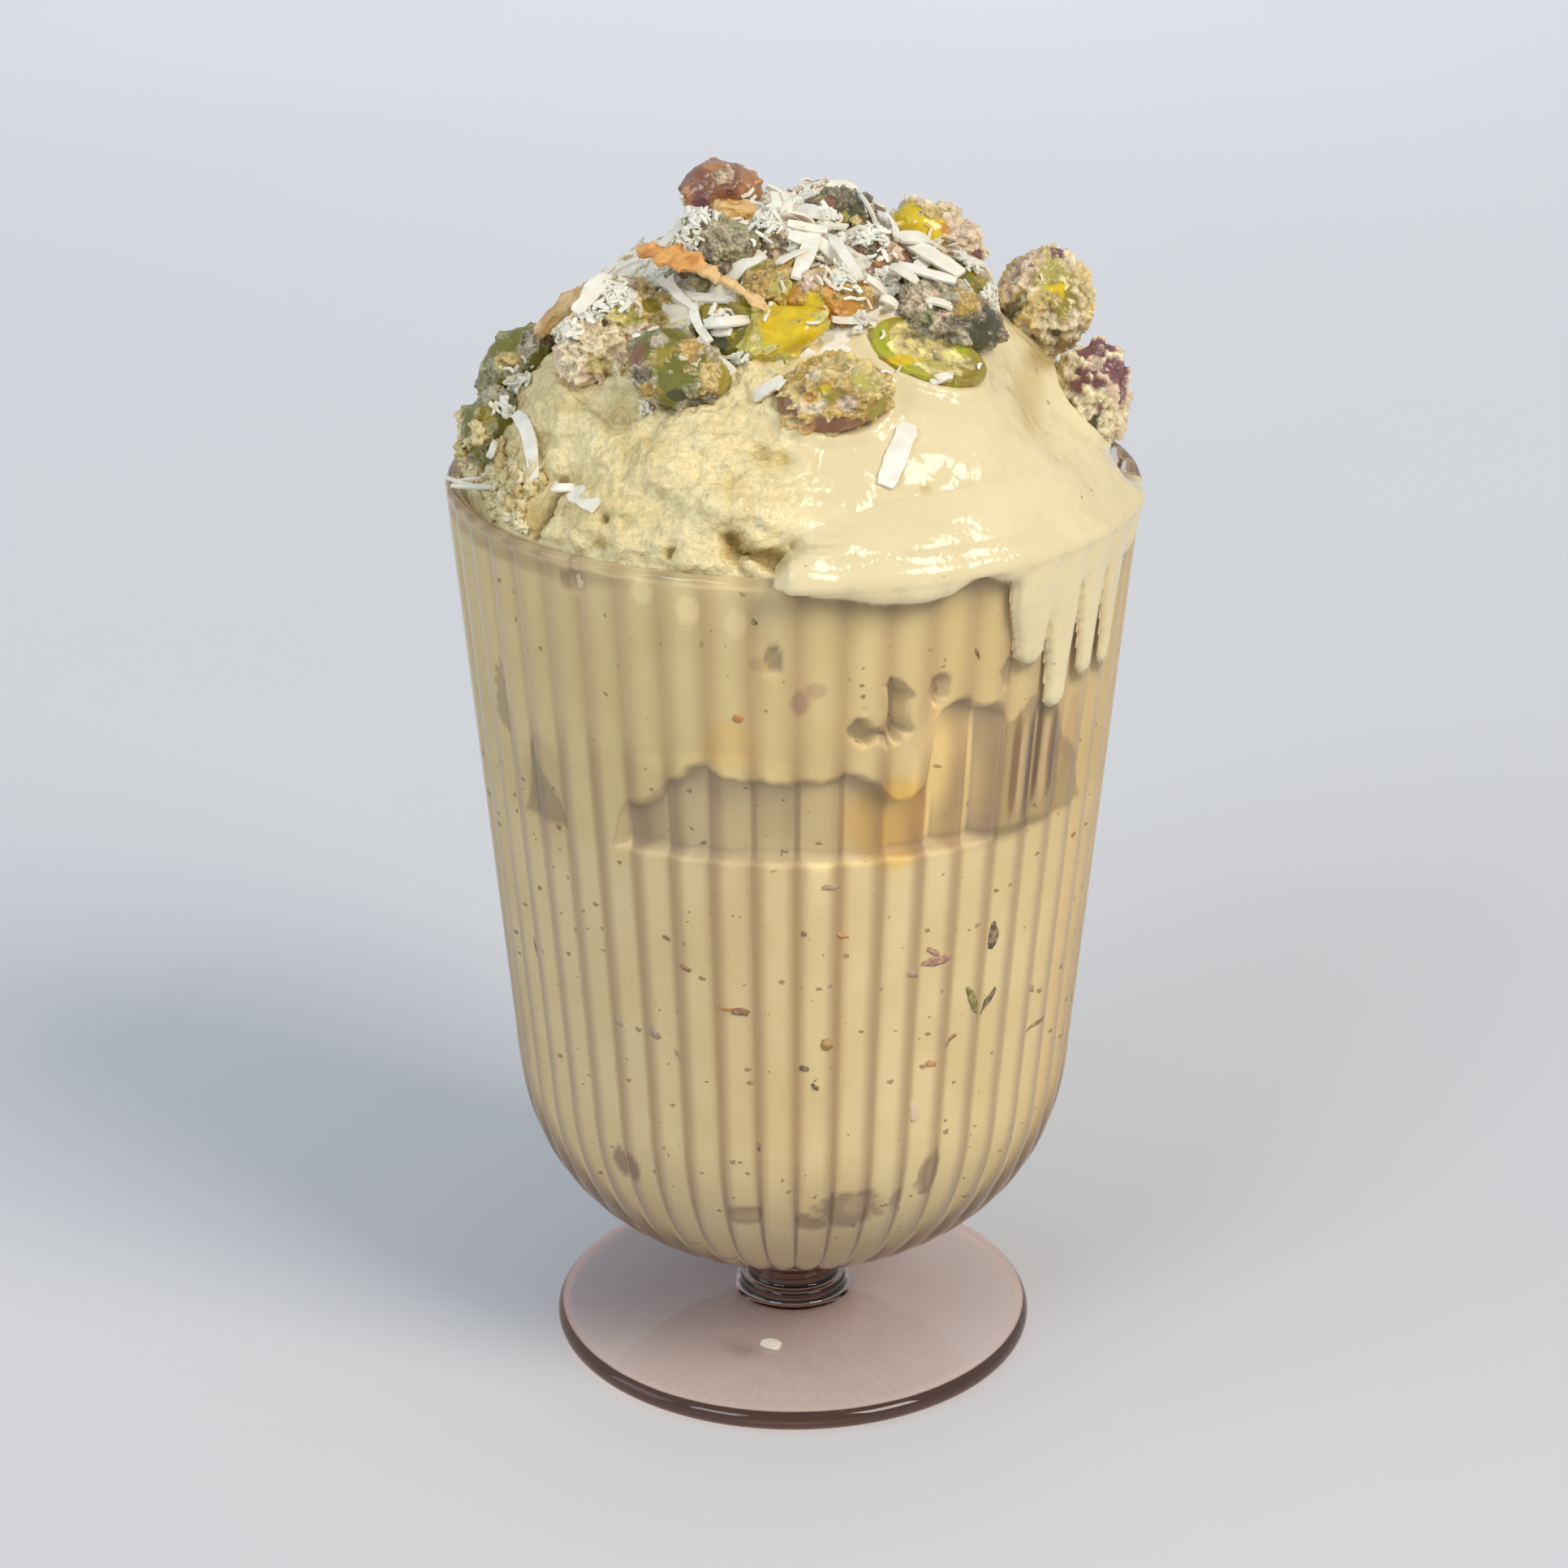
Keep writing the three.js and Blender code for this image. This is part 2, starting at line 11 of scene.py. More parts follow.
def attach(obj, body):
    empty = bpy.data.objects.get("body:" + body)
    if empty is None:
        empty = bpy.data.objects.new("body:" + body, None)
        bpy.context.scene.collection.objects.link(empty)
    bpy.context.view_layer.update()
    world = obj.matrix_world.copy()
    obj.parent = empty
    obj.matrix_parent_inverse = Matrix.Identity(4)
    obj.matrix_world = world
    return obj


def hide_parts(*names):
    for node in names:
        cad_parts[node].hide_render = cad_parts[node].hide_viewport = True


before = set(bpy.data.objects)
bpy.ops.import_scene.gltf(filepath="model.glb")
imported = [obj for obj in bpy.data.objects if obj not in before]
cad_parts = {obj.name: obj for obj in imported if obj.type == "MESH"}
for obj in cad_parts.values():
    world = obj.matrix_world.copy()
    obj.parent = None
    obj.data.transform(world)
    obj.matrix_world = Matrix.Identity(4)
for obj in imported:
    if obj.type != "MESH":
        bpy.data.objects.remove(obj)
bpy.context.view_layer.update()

# Table
# A wide pale table of matt laminate that the glass stands on.
MM = 0.001
TABLE_SIZE = 8.0
TABLE_DROP = 0.1 * MM  # the table lies this far below the foot, so that their faces don't touch
TABLE_COLOUR = (0.70, 0.705, 0.715, 1)


def start_material(name):
    """A new material with its tree and its Principled shader."""
    material = bpy.data.materials.new(name)
    material.use_nodes = True
    tree = material.node_tree
    return material, tree, tree.nodes["Principled BSDF"]


def feed(node, **settings):
    """Gives a node its settings: sockets by name, linked or set, and its own properties."""
    sockets = {socket.name.lower().replace(" ", "_"): socket for socket in reversed(node.inputs[:])}
    for name, value in settings.items():
        if name not in sockets:
            setattr(node, name, value)
        elif isinstance(value, bpy.types.NodeSocket):
            node.id_data.links.new(value, sockets[name])
        else:
            sockets[name].default_value = value


def add_node(tree, kind, *values, **settings):
    """A node with its settings, and with values or links for its first sockets."""
    node = tree.nodes.new("ShaderNode" + kind)
    feed(node, **settings)
    for socket, value in zip(node.inputs, values):
        if isinstance(value, bpy.types.NodeSocket):
            tree.links.new(value, socket)
        else:
            socket.default_value = value
    return node


def own_place(tree):
    """Each point's place in the object's own coordinates."""
    return add_node(tree, "TexCoord").outputs["Object"]


def grain(tree, scale, detail=3.0, distortion=0.0):
    """Noise of a scale in waves a metre."""
    return add_node(
        tree, "TexNoise", vector=own_place(tree), scale=scale, detail=detail, distortion=distortion
    ).outputs["Fac"]


def remap(tree, value, low, high, to_low=0.0, to_high=1.0):
    """A value's range spread smoothly over another range, clamped at its ends."""
    node = add_node(
        tree, "MapRange", value, low, high, to_low, to_high, interpolation_type="SMOOTHSTEP"
    )
    return node.outputs["Result"]


def blend(tree, share, first, second, how="MIX"):
    """A mix, product or sum of two colours, each a socket or a plain colour."""
    node = add_node(tree, "Mix", data_type="RGBA", blend_type=how)
    for socket, value in zip(
        (node.inputs[0], node.inputs[6], node.inputs[7]), (share, first, second)
    ):
        if isinstance(value, bpy.types.NodeSocket):
            tree.links.new(value, socket)
        else:
            socket.default_value = value
    return node.outputs[2]


bpy.ops.object.select_all(action="DESELECT")
bpy.ops.mesh.primitive_plane_add(size=TABLE_SIZE, location=(0, 0, -TABLE_DROP))
table = bpy.context.active_object
table.name = "table"
laminate, tree, shader = start_material("table laminate")
mottle = remap(tree, grain(tree, 3.0, 2), 0.3, 0.7)
paler = tuple(c * 1.02 for c in TABLE_COLOUR[:3]) + (1,)
feed(
    shader, base_color=blend(tree, mottle, TABLE_COLOUR, paler), roughness=0.5,
    specular_ior_level=0.25
)
table.data.materials.append(laminate)

# Light
# A large soft light from the front right, a weaker one from the front left, a low fill from the
# left, and pale blue light from all round.


def soft_light(name, azimuth, elevation, distance, size, watts, colour):
    """A square light that looks at the glass from an azimuth and an elevation in degrees."""
    light = bpy.data.lights.new(name, "AREA")
    light.shape = "SQUARE"
    light.size = size
    light.energy = watts
    light.color = colour
    lamp = bpy.data.objects.new(name, light)
    bpy.context.collection.objects.link(lamp)
    a, e = math.radians(azimuth), math.radians(elevation)
    towards = Vector((math.sin(a) * math.cos(e), -math.cos(a) * math.cos(e), math.sin(e)))
    lamp.location = Vector((0, 0, 80 * MM)) + towards * distance
    lamp.rotation_euler = towards.to_track_quat("Z", "Y").to_euler()


soft_light("right softbox", 50, 40, 5.0, 2.1, 148.0, (1.0, 0.90, 0.78))
soft_light("left softbox", -38, 35, 5.0, 1.9, 60.0, (0.80, 0.89, 1.0))
soft_light("low fill from the left", -78, 22, 5.0, 2.6, 30.0, (0.84, 0.91, 1.0))
bpy.ops.object.light_add(type="AREA", location=(0, 1.2, 1.0))
wash = bpy.context.active_object
wash.name = "background wash"
wash.data.shape, wash.data.size, wash.data.spread = "DISK", 0.9, math.radians(90)
wash.data.energy, wash.data.color = 1.3, (0.90, 0.94, 1.0)
world = bpy.data.worlds.new("studio")
world.use_nodes = True
bpy.context.scene.world = world
feed(world.node_tree.nodes["Background"], color=(0.83, 0.90, 1.0, 1), strength=0.53)
bpy.context.scene.view_settings.view_transform = "Standard"

# Camera
# It looks down at the glass as the photograph does. Its picture is 1932 pixels wide and high.
PICTURE = 1932
PIXELS_FOCAL = 4752.9
CAMERA_PLACE = Vector((-1.22, -460.38, 261.78)) * MM
CAMERA_PITCH = math.radians(21.85)
SENSOR = 36.0
lens = bpy.data.cameras.new("camera")
lens.sensor_width = SENSOR
lens.lens = PIXELS_FOCAL * SENSOR / PICTURE
lens.clip_start = 0.02
camera = bpy.data.objects.new("camera", lens)
bpy.context.collection.objects.link(camera)
camera.location = CAMERA_PLACE
camera.rotation_euler = (math.pi / 2 - CAMERA_PITCH, 0, 0)
bpy.context.scene.camera = camera

# Glass
# A footed dessert glass of smoke-brown soda glass, pressed in one piece: a bowl with 48 flutes,
# a short stem with a bead, and a thin round foot.
RIM_RADIUS = 43.4
GLASS_HEIGHT = 119.4
WALL_START_HEIGHT = 44.0
WALL_START_RADIUS = 36.4
RIM_INSIDE = 41.5
WALL_START_INSIDE = 34.2
RIM_ROUND = 0.9
CAVITY_FLOOR = 16.0
RIB_COUNT = 48
RIB_DEPTH = 0.8
RIB_TURN = 0.5  # degrees from the front to the nearest groove
STEM_RADIUS = 5.9
BOWL_UNDERSIDE = 11.5
BEAD_HEIGHT = 6.0
BEAD_RADIUS = 7.1
FOOT_RADIUS = 31.8
FOOT_EDGE = 2.8
FOOT_CENTRE = 4.8
GLASS_DENSITY = 120.0
GLASS_TINT = (0.60, 0.425, 0.36, 1)
GLASS_SURFACE = (0.995, 0.992, 0.99, 1)
STEM_SURFACE = (0.86, 0.70, 0.50, 1)
# Colour of a painted glow at the foot's edge, which is no lamp
FOOT_EDGE_PAINTED_GLOW = (0.066, 0.032, 0.021, 1)
wall_slope = (RIM_RADIUS - WALL_START_RADIUS) / (GLASS_HEIGHT - WALL_START_HEIGHT)
inside_slope = (RIM_INSIDE - WALL_START_INSIDE) / (GLASS_HEIGHT - WALL_START_HEIGHT)


def curve(start, first, second, end, steps):
    """Points on a cubic curve, both ends among them."""
    t = np.linspace(0, 1, steps + 1)[:, None]
    start, first, second, end = map(np.array, (start, first, second, end))
    near_start = (1 - t) ** 3 * start + 3 * (1 - t) ** 2 * t * first
    return near_start + 3 * (1 - t) * t ** 2 * second + t ** 3 * end


def quarter(centre, radius, start, end, steps):
    """Points on a round edge, between two angles in degrees from the outward direction."""
    turn = np.radians(np.linspace(start, end, steps + 1))
    return np.stack([centre[0] + radius * np.cos(turn), centre[1] + radius * np.sin(turn)], 1)


def wall_points(z_values, outer):
    """Points on the straight part of the wall, outside or inside, at some heights."""
    z = np.array(z_values)
    if outer:
        return np.stack([RIM_RADIUS - wall_slope * (GLASS_HEIGHT - z), z], 1)
    return np.stack([RIM_INSIDE - inside_slope * (GLASS_HEIGHT - z), z], 1)


def work_on(piece):
    """Selects one piece alone, as the one that operators act on."""
    bpy.ops.object.select_all(action="DESELECT")
    piece.select_set(True)
    bpy.context.view_layer.objects.active = piece


def new_piece(name, points, faces, edges=()):
    """A piece with a mesh of its own, from points in millimetres."""
    mesh = bpy.data.meshes.new(name)
    mesh.from_pydata((np.asarray(points) * MM).tolist(), edges, faces)
    piece = bpy.data.objects.new(name, mesh)
    bpy.context.collection.objects.link(piece)
    return piece


@contextmanager
def editing(piece):
    """Opens one piece's mesh for editing, with all of it selected."""
    work_on(piece)
    bpy.ops.object.mode_set(mode="EDIT")
    bpy.ops.mesh.select_all(action="SELECT")
    yield
    bpy.ops.object.mode_set(mode="OBJECT")


def shade(piece, sharpest=None):
    """Smooths a piece's shading, everywhere or across edges up to an angle in degrees."""
    work_on(piece)
    if sharpest is None:
        bpy.ops.object.shade_smooth()
    else:
        bpy.ops.object.shade_smooth_by_angle(angle=math.radians(sharpest))


def place_of(piece):
    """A piece's vertices as rows of x, y and z in millimetres."""
    places = np.empty(len(piece.data.vertices) * 3)
    piece.data.vertices.foreach_get("co", places)
    return places.reshape(-1, 3) / MM


def move_to(piece, places):
    """Gives a piece's vertices places in millimetres."""
    piece.data.vertices.foreach_set("co", (places * MM).ravel())
    piece.data.update()


def azimuth_of(places):
    """Degrees round the axis from the front, positive to the right."""
    return np.degrees(np.arctan2(places[:, 0], -places[:, 1]))


foot_corner = FOOT_EDGE / 2
bead_round = BEAD_RADIUS - STEM_RADIUS
outline = np.concatenate(
    [
        [(0, 0.45), (FOOT_RADIUS * 0.8, 0.35), (FOOT_RADIUS * 0.9, 0)],
        quarter((FOOT_RADIUS - foot_corner, foot_corner), foot_corner, -90, 90, 12),
        curve(
            (FOOT_RADIUS * 0.93, FOOT_EDGE + 0.1), (FOOT_RADIUS * 0.7, 3.6),
            (FOOT_RADIUS * 0.45, 4.5), (BEAD_RADIUS + 1.2, FOOT_CENTRE), 14
        ),
        quarter((BEAD_RADIUS - bead_round * 0.6, BEAD_HEIGHT), bead_round * 0.6, -60, 80, 8),
        [
            (STEM_RADIUS + 0.15, BEAD_HEIGHT + 1.0), (STEM_RADIUS, BEAD_HEIGHT + 1.6),
            (STEM_RADIUS, BOWL_UNDERSIDE - 1.5), (STEM_RADIUS + 0.2, BOWL_UNDERSIDE - 0.6),
        ],
        curve(
            (STEM_RADIUS + 0.9, BOWL_UNDERSIDE + 0.2), (25.5, 18), (35.4, 25),
            (WALL_START_RADIUS, WALL_START_HEIGHT), 40
        ),
        wall_points(np.linspace(WALL_START_HEIGHT + 3, GLASS_HEIGHT - 3, 18), True),
        wall_points([GLASS_HEIGHT - 2, GLASS_HEIGHT - 1.4], True),
        quarter((RIM_RADIUS - RIM_ROUND - 0.08, GLASS_HEIGHT - RIM_ROUND), RIM_ROUND, 0, 180, 12),
        wall_points(np.linspace(GLASS_HEIGHT - 2, WALL_START_HEIGHT + 1, 16), False),
        curve(
            (WALL_START_INSIDE, WALL_START_HEIGHT), (33.6, 25.5), (19, CAVITY_FLOOR + 0.2),
            (0, CAVITY_FLOOR), 26
        ),
    ]
)
points = [(radius, 0, height) for radius, height in outline]
glass = new_piece("glass_body", points, [], [(i, i + 1) for i in range(len(outline) - 1)])
with editing(glass):
    bpy.ops.mesh.spin(
        steps=RIB_COUNT * 10, angle=math.tau, center=(0, 0, 0), axis=(0, 0, 1), use_auto_merge=True
    )
    bpy.ops.mesh.select_all(action="SELECT")
    bpy.ops.mesh.remove_doubles(threshold=0.002 * MM)
    bpy.ops.mesh.normals_make_consistent(inside=False)
shade(glass)


def flute_drop(azimuth):
    """How far below the flutes' crests the outside lies, as a share of the rib depth."""
    across = (azimuth - RIB_TURN) * RIB_COUNT / 360 % 1
    return 1 - (1 - (2 * across - 1) ** 2) ** 0.8


places = place_of(glass)
spread = np.hypot(places[:, 0], places[:, 1])
z = places[:, 2]
bowl_wall = RIM_RADIUS - wall_slope * (GLASS_HEIGHT - z)
inner_bowl = np.interp(z, outline[-27:][::-1, 1], outline[-27:][::-1, 0])
outside = (z > BOWL_UNDERSIDE + 0.4) & np.where(
    z > WALL_START_HEIGHT, spread > bowl_wall - 1.0,
    (z < CAVITY_FLOOR - 0.01) | (spread > inner_bowl + 0.6)
)
near_rim = np.clip((GLASS_HEIGHT - 0.3 - z) / 2, 0, 1)
near_stem = np.clip((spread - STEM_RADIUS) / 6, 0, 1)
rounder = 1 + 0.5 * np.clip((WALL_START_HEIGHT - z) / 20, 0, 1)
depth = np.where(
    outside,
    RIB_DEPTH * rounder * np.minimum(1, spread / WALL_START_RADIUS) ** 0.7 * near_rim * near_stem, 0
)
turned = places.copy()
turn = math.radians(RIB_TURN)
turned[:, 0] = places[:, 0] * math.cos(turn) - places[:, 1] * math.sin(turn)
turned[:, 1] = places[:, 0] * math.sin(turn) + places[:, 1] * math.cos(turn)
shrink = 1 - depth * flute_drop(azimuth_of(turned)) / np.maximum(spread, 1)
turned[:, :2] *= shrink[:, None]
move_to(glass, turned)


def combine(tree, operation, first, second=0.0):
    """Two numbers joined by a sum, a product or another operation."""
    return add_node(tree, "Math", first, second, operation=operation).outputs[0]


def times(tree, first, second):
    """The product of two numbers."""
    return combine(tree, "MULTIPLY", first, second)


def relief(tree, shader, height, distance, strength=1.0):
    """A bump of a height in metres that feeds a shader's normal."""
    bump = add_node(tree, "Bump", height=height, strength=strength, distance=distance)
    feed(shader, normal=bump.outputs["Normal"])


smoke_glass, tree, shader = start_material("smoke glass")
smear = remap(tree, grain(tree, 70.0, 4, 0.6), 0.45, 0.75, 0.0, 0.07)
sideways, backwards, upwards = add_node(tree, "SeparateXYZ", own_place(tree)).outputs
squares = combine(
    tree, "ADD", combine(tree, "POWER", sideways, 2.0), combine(tree, "POWER", backwards, 2.0)
)
from_axis = combine(tree, "SQRT", squares)
low_down = remap(tree, upwards, 3.0 * MM, 3.6 * MM, 1.0, 0.0)
foot_edge = times(tree, remap(tree, from_axis, 29.6 * MM, 31.0 * MM), low_down)
# The solid stem is a deeper brown than the thin wall
in_stem = times(
    tree, remap(tree, from_axis, 7.4 * MM, 8.2 * MM, 1.0, 0.0),
    remap(tree, upwards, 5.0 * MM, 5.6 * MM)
)
on_stem = times(tree, in_stem, remap(tree, upwards, 12.4 * MM, 13.4 * MM, 1.0, 0.0))
# Painted glow: the foot's edge glows brown for the light it gathers between its faces and lets out
painted_edge_glow = blend(tree, foot_edge, (0, 0, 0, 1), FOOT_EDGE_PAINTED_GLOW)
feed(
    shader, base_color=blend(tree, on_stem, GLASS_SURFACE, STEM_SURFACE), roughness=smear, ior=1.5,
    transmission_weight=1, emission_color=painted_edge_glow, emission_strength=1
)
relief(tree, shader, grain(tree, 110.0, 2), 0.05 * MM, 0.5)
clear = add_node(tree, "BsdfTransparent", color=(0.93, 0.93, 0.93, 1)).outputs[0]
for_shadows = add_node(tree, "LightPath").outputs["Is Shadow Ray"]
either = add_node(tree, "MixShader", for_shadows, shader.outputs[0], clear)
tinted = add_node(tree, "VolumeAbsorption", color=GLASS_TINT, density=GLASS_DENSITY)
feed(tree.nodes["Material Output"], surface=either.outputs[0], volume=tinted.outputs[0])
glass.data.materials.append(smoke_glass)
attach(glass, "root")
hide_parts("glass")

# Ice cream in the glass
# Pistachio ice cream, spooned in twice: the lower part has a level top, and the upper part has
# closed over it without filling some pockets along the wall.
CREAM_IN_WALL = 0.15  # how far the ice cream reaches into the glass, so that no gap shows
SHELF_HEIGHT = 82.0
POCKET_DEPTH = 2.2
POCKET_RISE = [  # azimuth in degrees, height of the pocket above the level top
    (-180, 0), (-58, 0), (-55.5, 4), (-54, 12), (-52, 10.5), (-49, 6.5), (-46, 3), (-43.5, 0),
    (-39, 0), (-33.5, 0), (-32.5, 5), (-31, 6.6), (-27, 7), (-25, 8.5), (-22, 10.6), (-20, 11),
    (-18, 13), (-15.5, 13.2), (-13, 11.6), (-10, 11.4), (0, 11.2), (5, 11.6), (11, 12.2),
    (13.5, 11.2), (16, 8.8), (19, 8), (22, 9), (24.5, 11), (25, 19.5), (29, 20.5), (33, 19),
    (37, 18.5), (38.5, 17), (41, 16), (44, 19), (50, 17), (55, 12), (60, 8), (66, 0), (180, 0),
]
DENTS = [  # middle as azimuth and height, half width in degrees, half height, depth
    (12.5, 33.0, 8.0, 3.2, 0.1), (3.5, 31.2, 3.5, 1.4, 0.1), (-10.5, 32.3, 4.2, 1.6, 0.1),
    (-40.0, 36.5, 1.9, 2.2, 0.1), (-36.2, 36.5, 1.6, 2.2, 0.1), (22.5, 34.0, 2.0, 1.6, 0.1),
    (30.0, 36.8, 3.0, 3.4, 0.1), (38.0, 104.0, 1.5, 2.2, 1.5), (-38.0, 116.0, 3.0, 1.6, 1.4),
    (-3.5, 109.0, 1.5, 2.0, 0.8), (12.0, 99.5, 2.6, 1.9, 2.0), (16.5, 101.8, 4.6, 4.0, 3.2),
    (24.5, 104.0, 2.0, 2.0, 2.0), (-62.0, 96.0, 2.5, 5.0, 1.6),
]
ISLANDS = [(13.8, 102.6, 2.3, 3.0), (20.8, 101.5, 2.0, 2.4)]  # ice cream on the wall inside a dent
# Middle as azimuth and height, half width in degrees, half height, and how the ice cream there is
# tinted: painted shade at the shelf's lip, round the dents and at the rim, and painted highlights,
# stripes and amber light in the pockets
PAINTED_LIGHT_AND_SHADE = [
    (-9.0, 82.9, 24.0, 0.8, (0.80, 0.815, 0.86)), (33.0, 82.9, 20.0, 0.9, (0.70, 0.69, 0.68)),
    (-9.0, 82.1, 24.0, 0.7, (0.93, 0.93, 0.94)), (33.0, 82.2, 20.0, 0.7, (0.87, 0.87, 0.89)),
    (-53.0, 117.2, 26.0, 1.7, (0.86, 0.84, 0.82)), (12.5, 33.0, 7.4, 2.9, (0.80, 0.74, 0.76)),
    (3.5, 31.2, 3.2, 1.3, (0.84, 0.78, 0.78)), (-10.5, 32.3, 3.9, 1.5, (0.80, 0.74, 0.76)),
    (30.0, 36.8, 2.6, 3.2, (0.76, 0.70, 0.72)), (-40.0, 36.5, 1.9, 2.2, (0.70, 0.64, 0.68)),
    (-36.2, 36.5, 1.6, 2.2, (0.74, 0.68, 0.70)), (12.5, 33.2, 5.2, 1.9, (1.06, 1.08, 1.18)),
    (-51.0, 87.0, 5.5, 7.0, (0.86, 0.83, 0.84)), (31.0, 91.0, 6.0, 9.0, (1.26, 1.25, 1.04)),
    (14.0, 33.6, 2.6, 1.6, (1.35, 1.35, 1.35)), (-10.5, 32.0, 2.6, 0.8, (1.3, 1.3, 1.3)),
    (30.0, 36.8, 1.2, 2.6, (1.4, 1.4, 1.45)), (5.0, 87.0, 3.1, 6.5, (1.24, 1.26, 1.26)),
    (-19.3, 88.0, 1.5, 6.0, (1.14, 1.16, 1.22)), (-11.4, 88.0, 1.5, 6.0, (1.14, 1.16, 1.22)),
    (-4.0, 88.0, 1.5, 6.0, (1.14, 1.16, 1.22)), (11.2, 88.0, 1.2, 6.0, (1.1, 1.1, 1.2)),
    (18.0, 87.0, 7.5, 6.0, (1.04, 0.88, 0.44)), (16.5, 86.5, 1.2, 3.8, (1.2, 1.15, 0.9)),
    (9.0, 87.0, 2.0, 5.0, (1.05, 0.98, 0.7)), (25.0, 93.0, 4.5, 9.0, (1.30, 1.28, 1.24)),
    (-25.0, 116.6, 1.7, 1.5, (1.22, 1.25, 1.3)), (-17.3, 114.8, 1.7, 1.8, (1.25, 1.28, 1.35)),
    (-9.4, 113.6, 1.7, 1.8, (1.2, 1.22, 1.3)), (0.8, 103.6, 1.8, 1.6, (0.72, 0.62, 0.75)),
    (3.6, 105.2, 1.6, 1.0, (0.8, 0.72, 0.8)), (42.0, 91.5, 0.8, 7.0, (0.56, 0.44, 0.36)),
    (43.5, 91.0, 0.8, 6.5, (1.38, 1.38, 1.5)), (45.0, 91.0, 0.9, 7.0, (0.40, 0.31, 0.25)),
    (46.5, 91.5, 0.7, 6.0, (1.25, 1.25, 1.4)), (48.0, 92.0, 0.9, 6.5, (0.36, 0.28, 0.22)),
    (49.7, 91.0, 0.8, 6.0, (1.3, 1.3, 1.45)), (51.2, 92.0, 0.8, 6.0, (0.50, 0.40, 0.33)),
    (57.5, 93.0, 1.6, 5.0, (0.9, 0.84, 0.88)), (-66.0, 117.3, 36.0, 1.5, (0.84, 0.80, 0.80)),
    (-5.0, 108.5, 3.0, 0.8, (0.85, 0.78, 0.7)), (-11.0, 98.0, 5.0, 3.0, (1.05, 0.95, 0.75)),
    (-12.0, 94.5, 14.0, 2.2, (1.1, 1.1, 1.06)),
]


def surface_piece(name, rows):
    """A closed skin over rows of points round the axis, with a point at each end."""
    count, columns = rows.shape[:2]
    first = np.arange(count - 1)[:, None] * columns + np.arange(columns)[None, :]
    beside = np.arange(count - 1)[:, None] * columns + (np.arange(columns)[None, :] + 1) % columns
    quads = np.stack([first, beside, beside + columns, first + columns], 2).reshape(-1, 4)
    faces = [tuple(q) for q in quads.tolist()]
    for middle, row in ((count * columns, 0), (count * columns + 1, count - 1)):
        start = row * columns
        for column in range(columns):
            pair = (start + column, start + (column + 1) % columns)
            faces.append((middle, *(pair[::-1] if row == 0 else pair)))
    points = np.concatenate([rows.reshape(-1, 3), [rows[0].mean(0), rows[-1].mean(0)]])
    piece = new_piece(name, points, faces)
    with editing(piece):
        bpy.ops.mesh.normals_make_consistent(inside=False)
    shade(piece)
    return piece


def smooth_step(x):
    """An even rise from 0 to 1 that starts and ends gently."""
    x = np.clip(x, 0, 1)
    return x * x * (3 - 2 * x)


def around(radius, azimuth, height):
    """Points at radii, azimuths in degrees and heights."""
    a = np.radians(azimuth)
    return np.stack([radius * np.sin(a), -radius * np.cos(a), height + 0 * a], -1)


def pocket_shape(azimuth, height):
    """How far the ice cream lies behind the wall, and how much of it is painted with pocket shade.
    """
    ragged = 0.16 * np.sin(azimuth * 0.9) + 0.10 * np.sin(azimuth * 2.3 + 1)
    rise = sum(
        np.interp(azimuth + near, *zip(*POCKET_RISE)) for near in (-0.8, -0.4, 0, 0.4, 0.8)
    ) / 5
    inside = np.minimum(
        height - SHELF_HEIGHT - 0.15 * ragged, rise + ragged * (rise > 2) - (height - SHELF_HEIGHT)
    )
    # Painted shade on a pocket's floor, where the ice cream lies back from the wall
    pocket_shade = smooth_step(inside / 0.6 - 0.4) * (rise > 0.3)
    floor = 0.85 + 0.15 * np.sin(azimuth * 0.22 + height * 0.25)
    depth = POCKET_DEPTH * floor * smooth_step(inside / 1.3 + 0.1) * (rise > 0.3)
    for place, middle, half_width, half_height, deep in DENTS:
        away = np.hypot((azimuth - place) / half_width, (height - middle) / half_height)
        away = away + 0.2 * np.sin(azimuth * 1.3 + height) * np.sin(height * 1.9 + azimuth * 0.7)
        depth = np.maximum(depth, deep * smooth_step((1 - away) * 4))
        # The dents get the same painted shade
        pocket_shade = np.maximum(pocket_shade, smooth_step((1 - away) * 7))
    for place, middle, half_width, half_height in ISLANDS:
        away = np.hypot((azimuth - place) / half_width, (height - middle) / half_height)
        depth = depth * smooth_step((away - 1) * 3 + 0.5)
        pocket_shade = pocket_shade * smooth_step((away - 1) * 4 + 0.5)
    # Away from the front the pockets are not hollowed, and only their painted shade is left
    side_on = smooth_step((np.abs(azimuth) - 35) / 5)
    return depth * (1 - side_on), pocket_shade


def filling_top(azimuth):
    """The height up to which the ice cream touches the wall: the rim, or lower at the back."""
    short = np.exp(-((azimuth - 122) / 17) ** 2)
    return GLASS_HEIGHT - 0.9 - 5.5 * short


columns = 720
azimuths = np.linspace(-180, 180, columns, endpoint=False)
bottom = curve(
    (0, CAVITY_FLOOR), (19, CAVITY_FLOOR + 0.2), (33.6, 25.5),
    (WALL_START_INSIDE, WALL_START_HEIGHT), 60
)
lower = bottom[[4, 9, 14, 19, 23, 26] + list(range(28, 61))]
rows, pocket_shades = [], []
for radius, height in lower:
    slope_share = (height - CAVITY_FLOOR) / (WALL_START_HEIGHT - CAVITY_FLOOR)
    depth, pocket_shade = pocket_shape(azimuths, np.full(columns, height))
    inwards = depth - CREAM_IN_WALL
    rows.append(
        around(
            radius - inwards * max(slope_share, 0.2) ** 0.5, azimuths,
            height + inwards * (1 - slope_share) ** 0.7
        )
    )
    pocket_shades.append(pocket_shade)
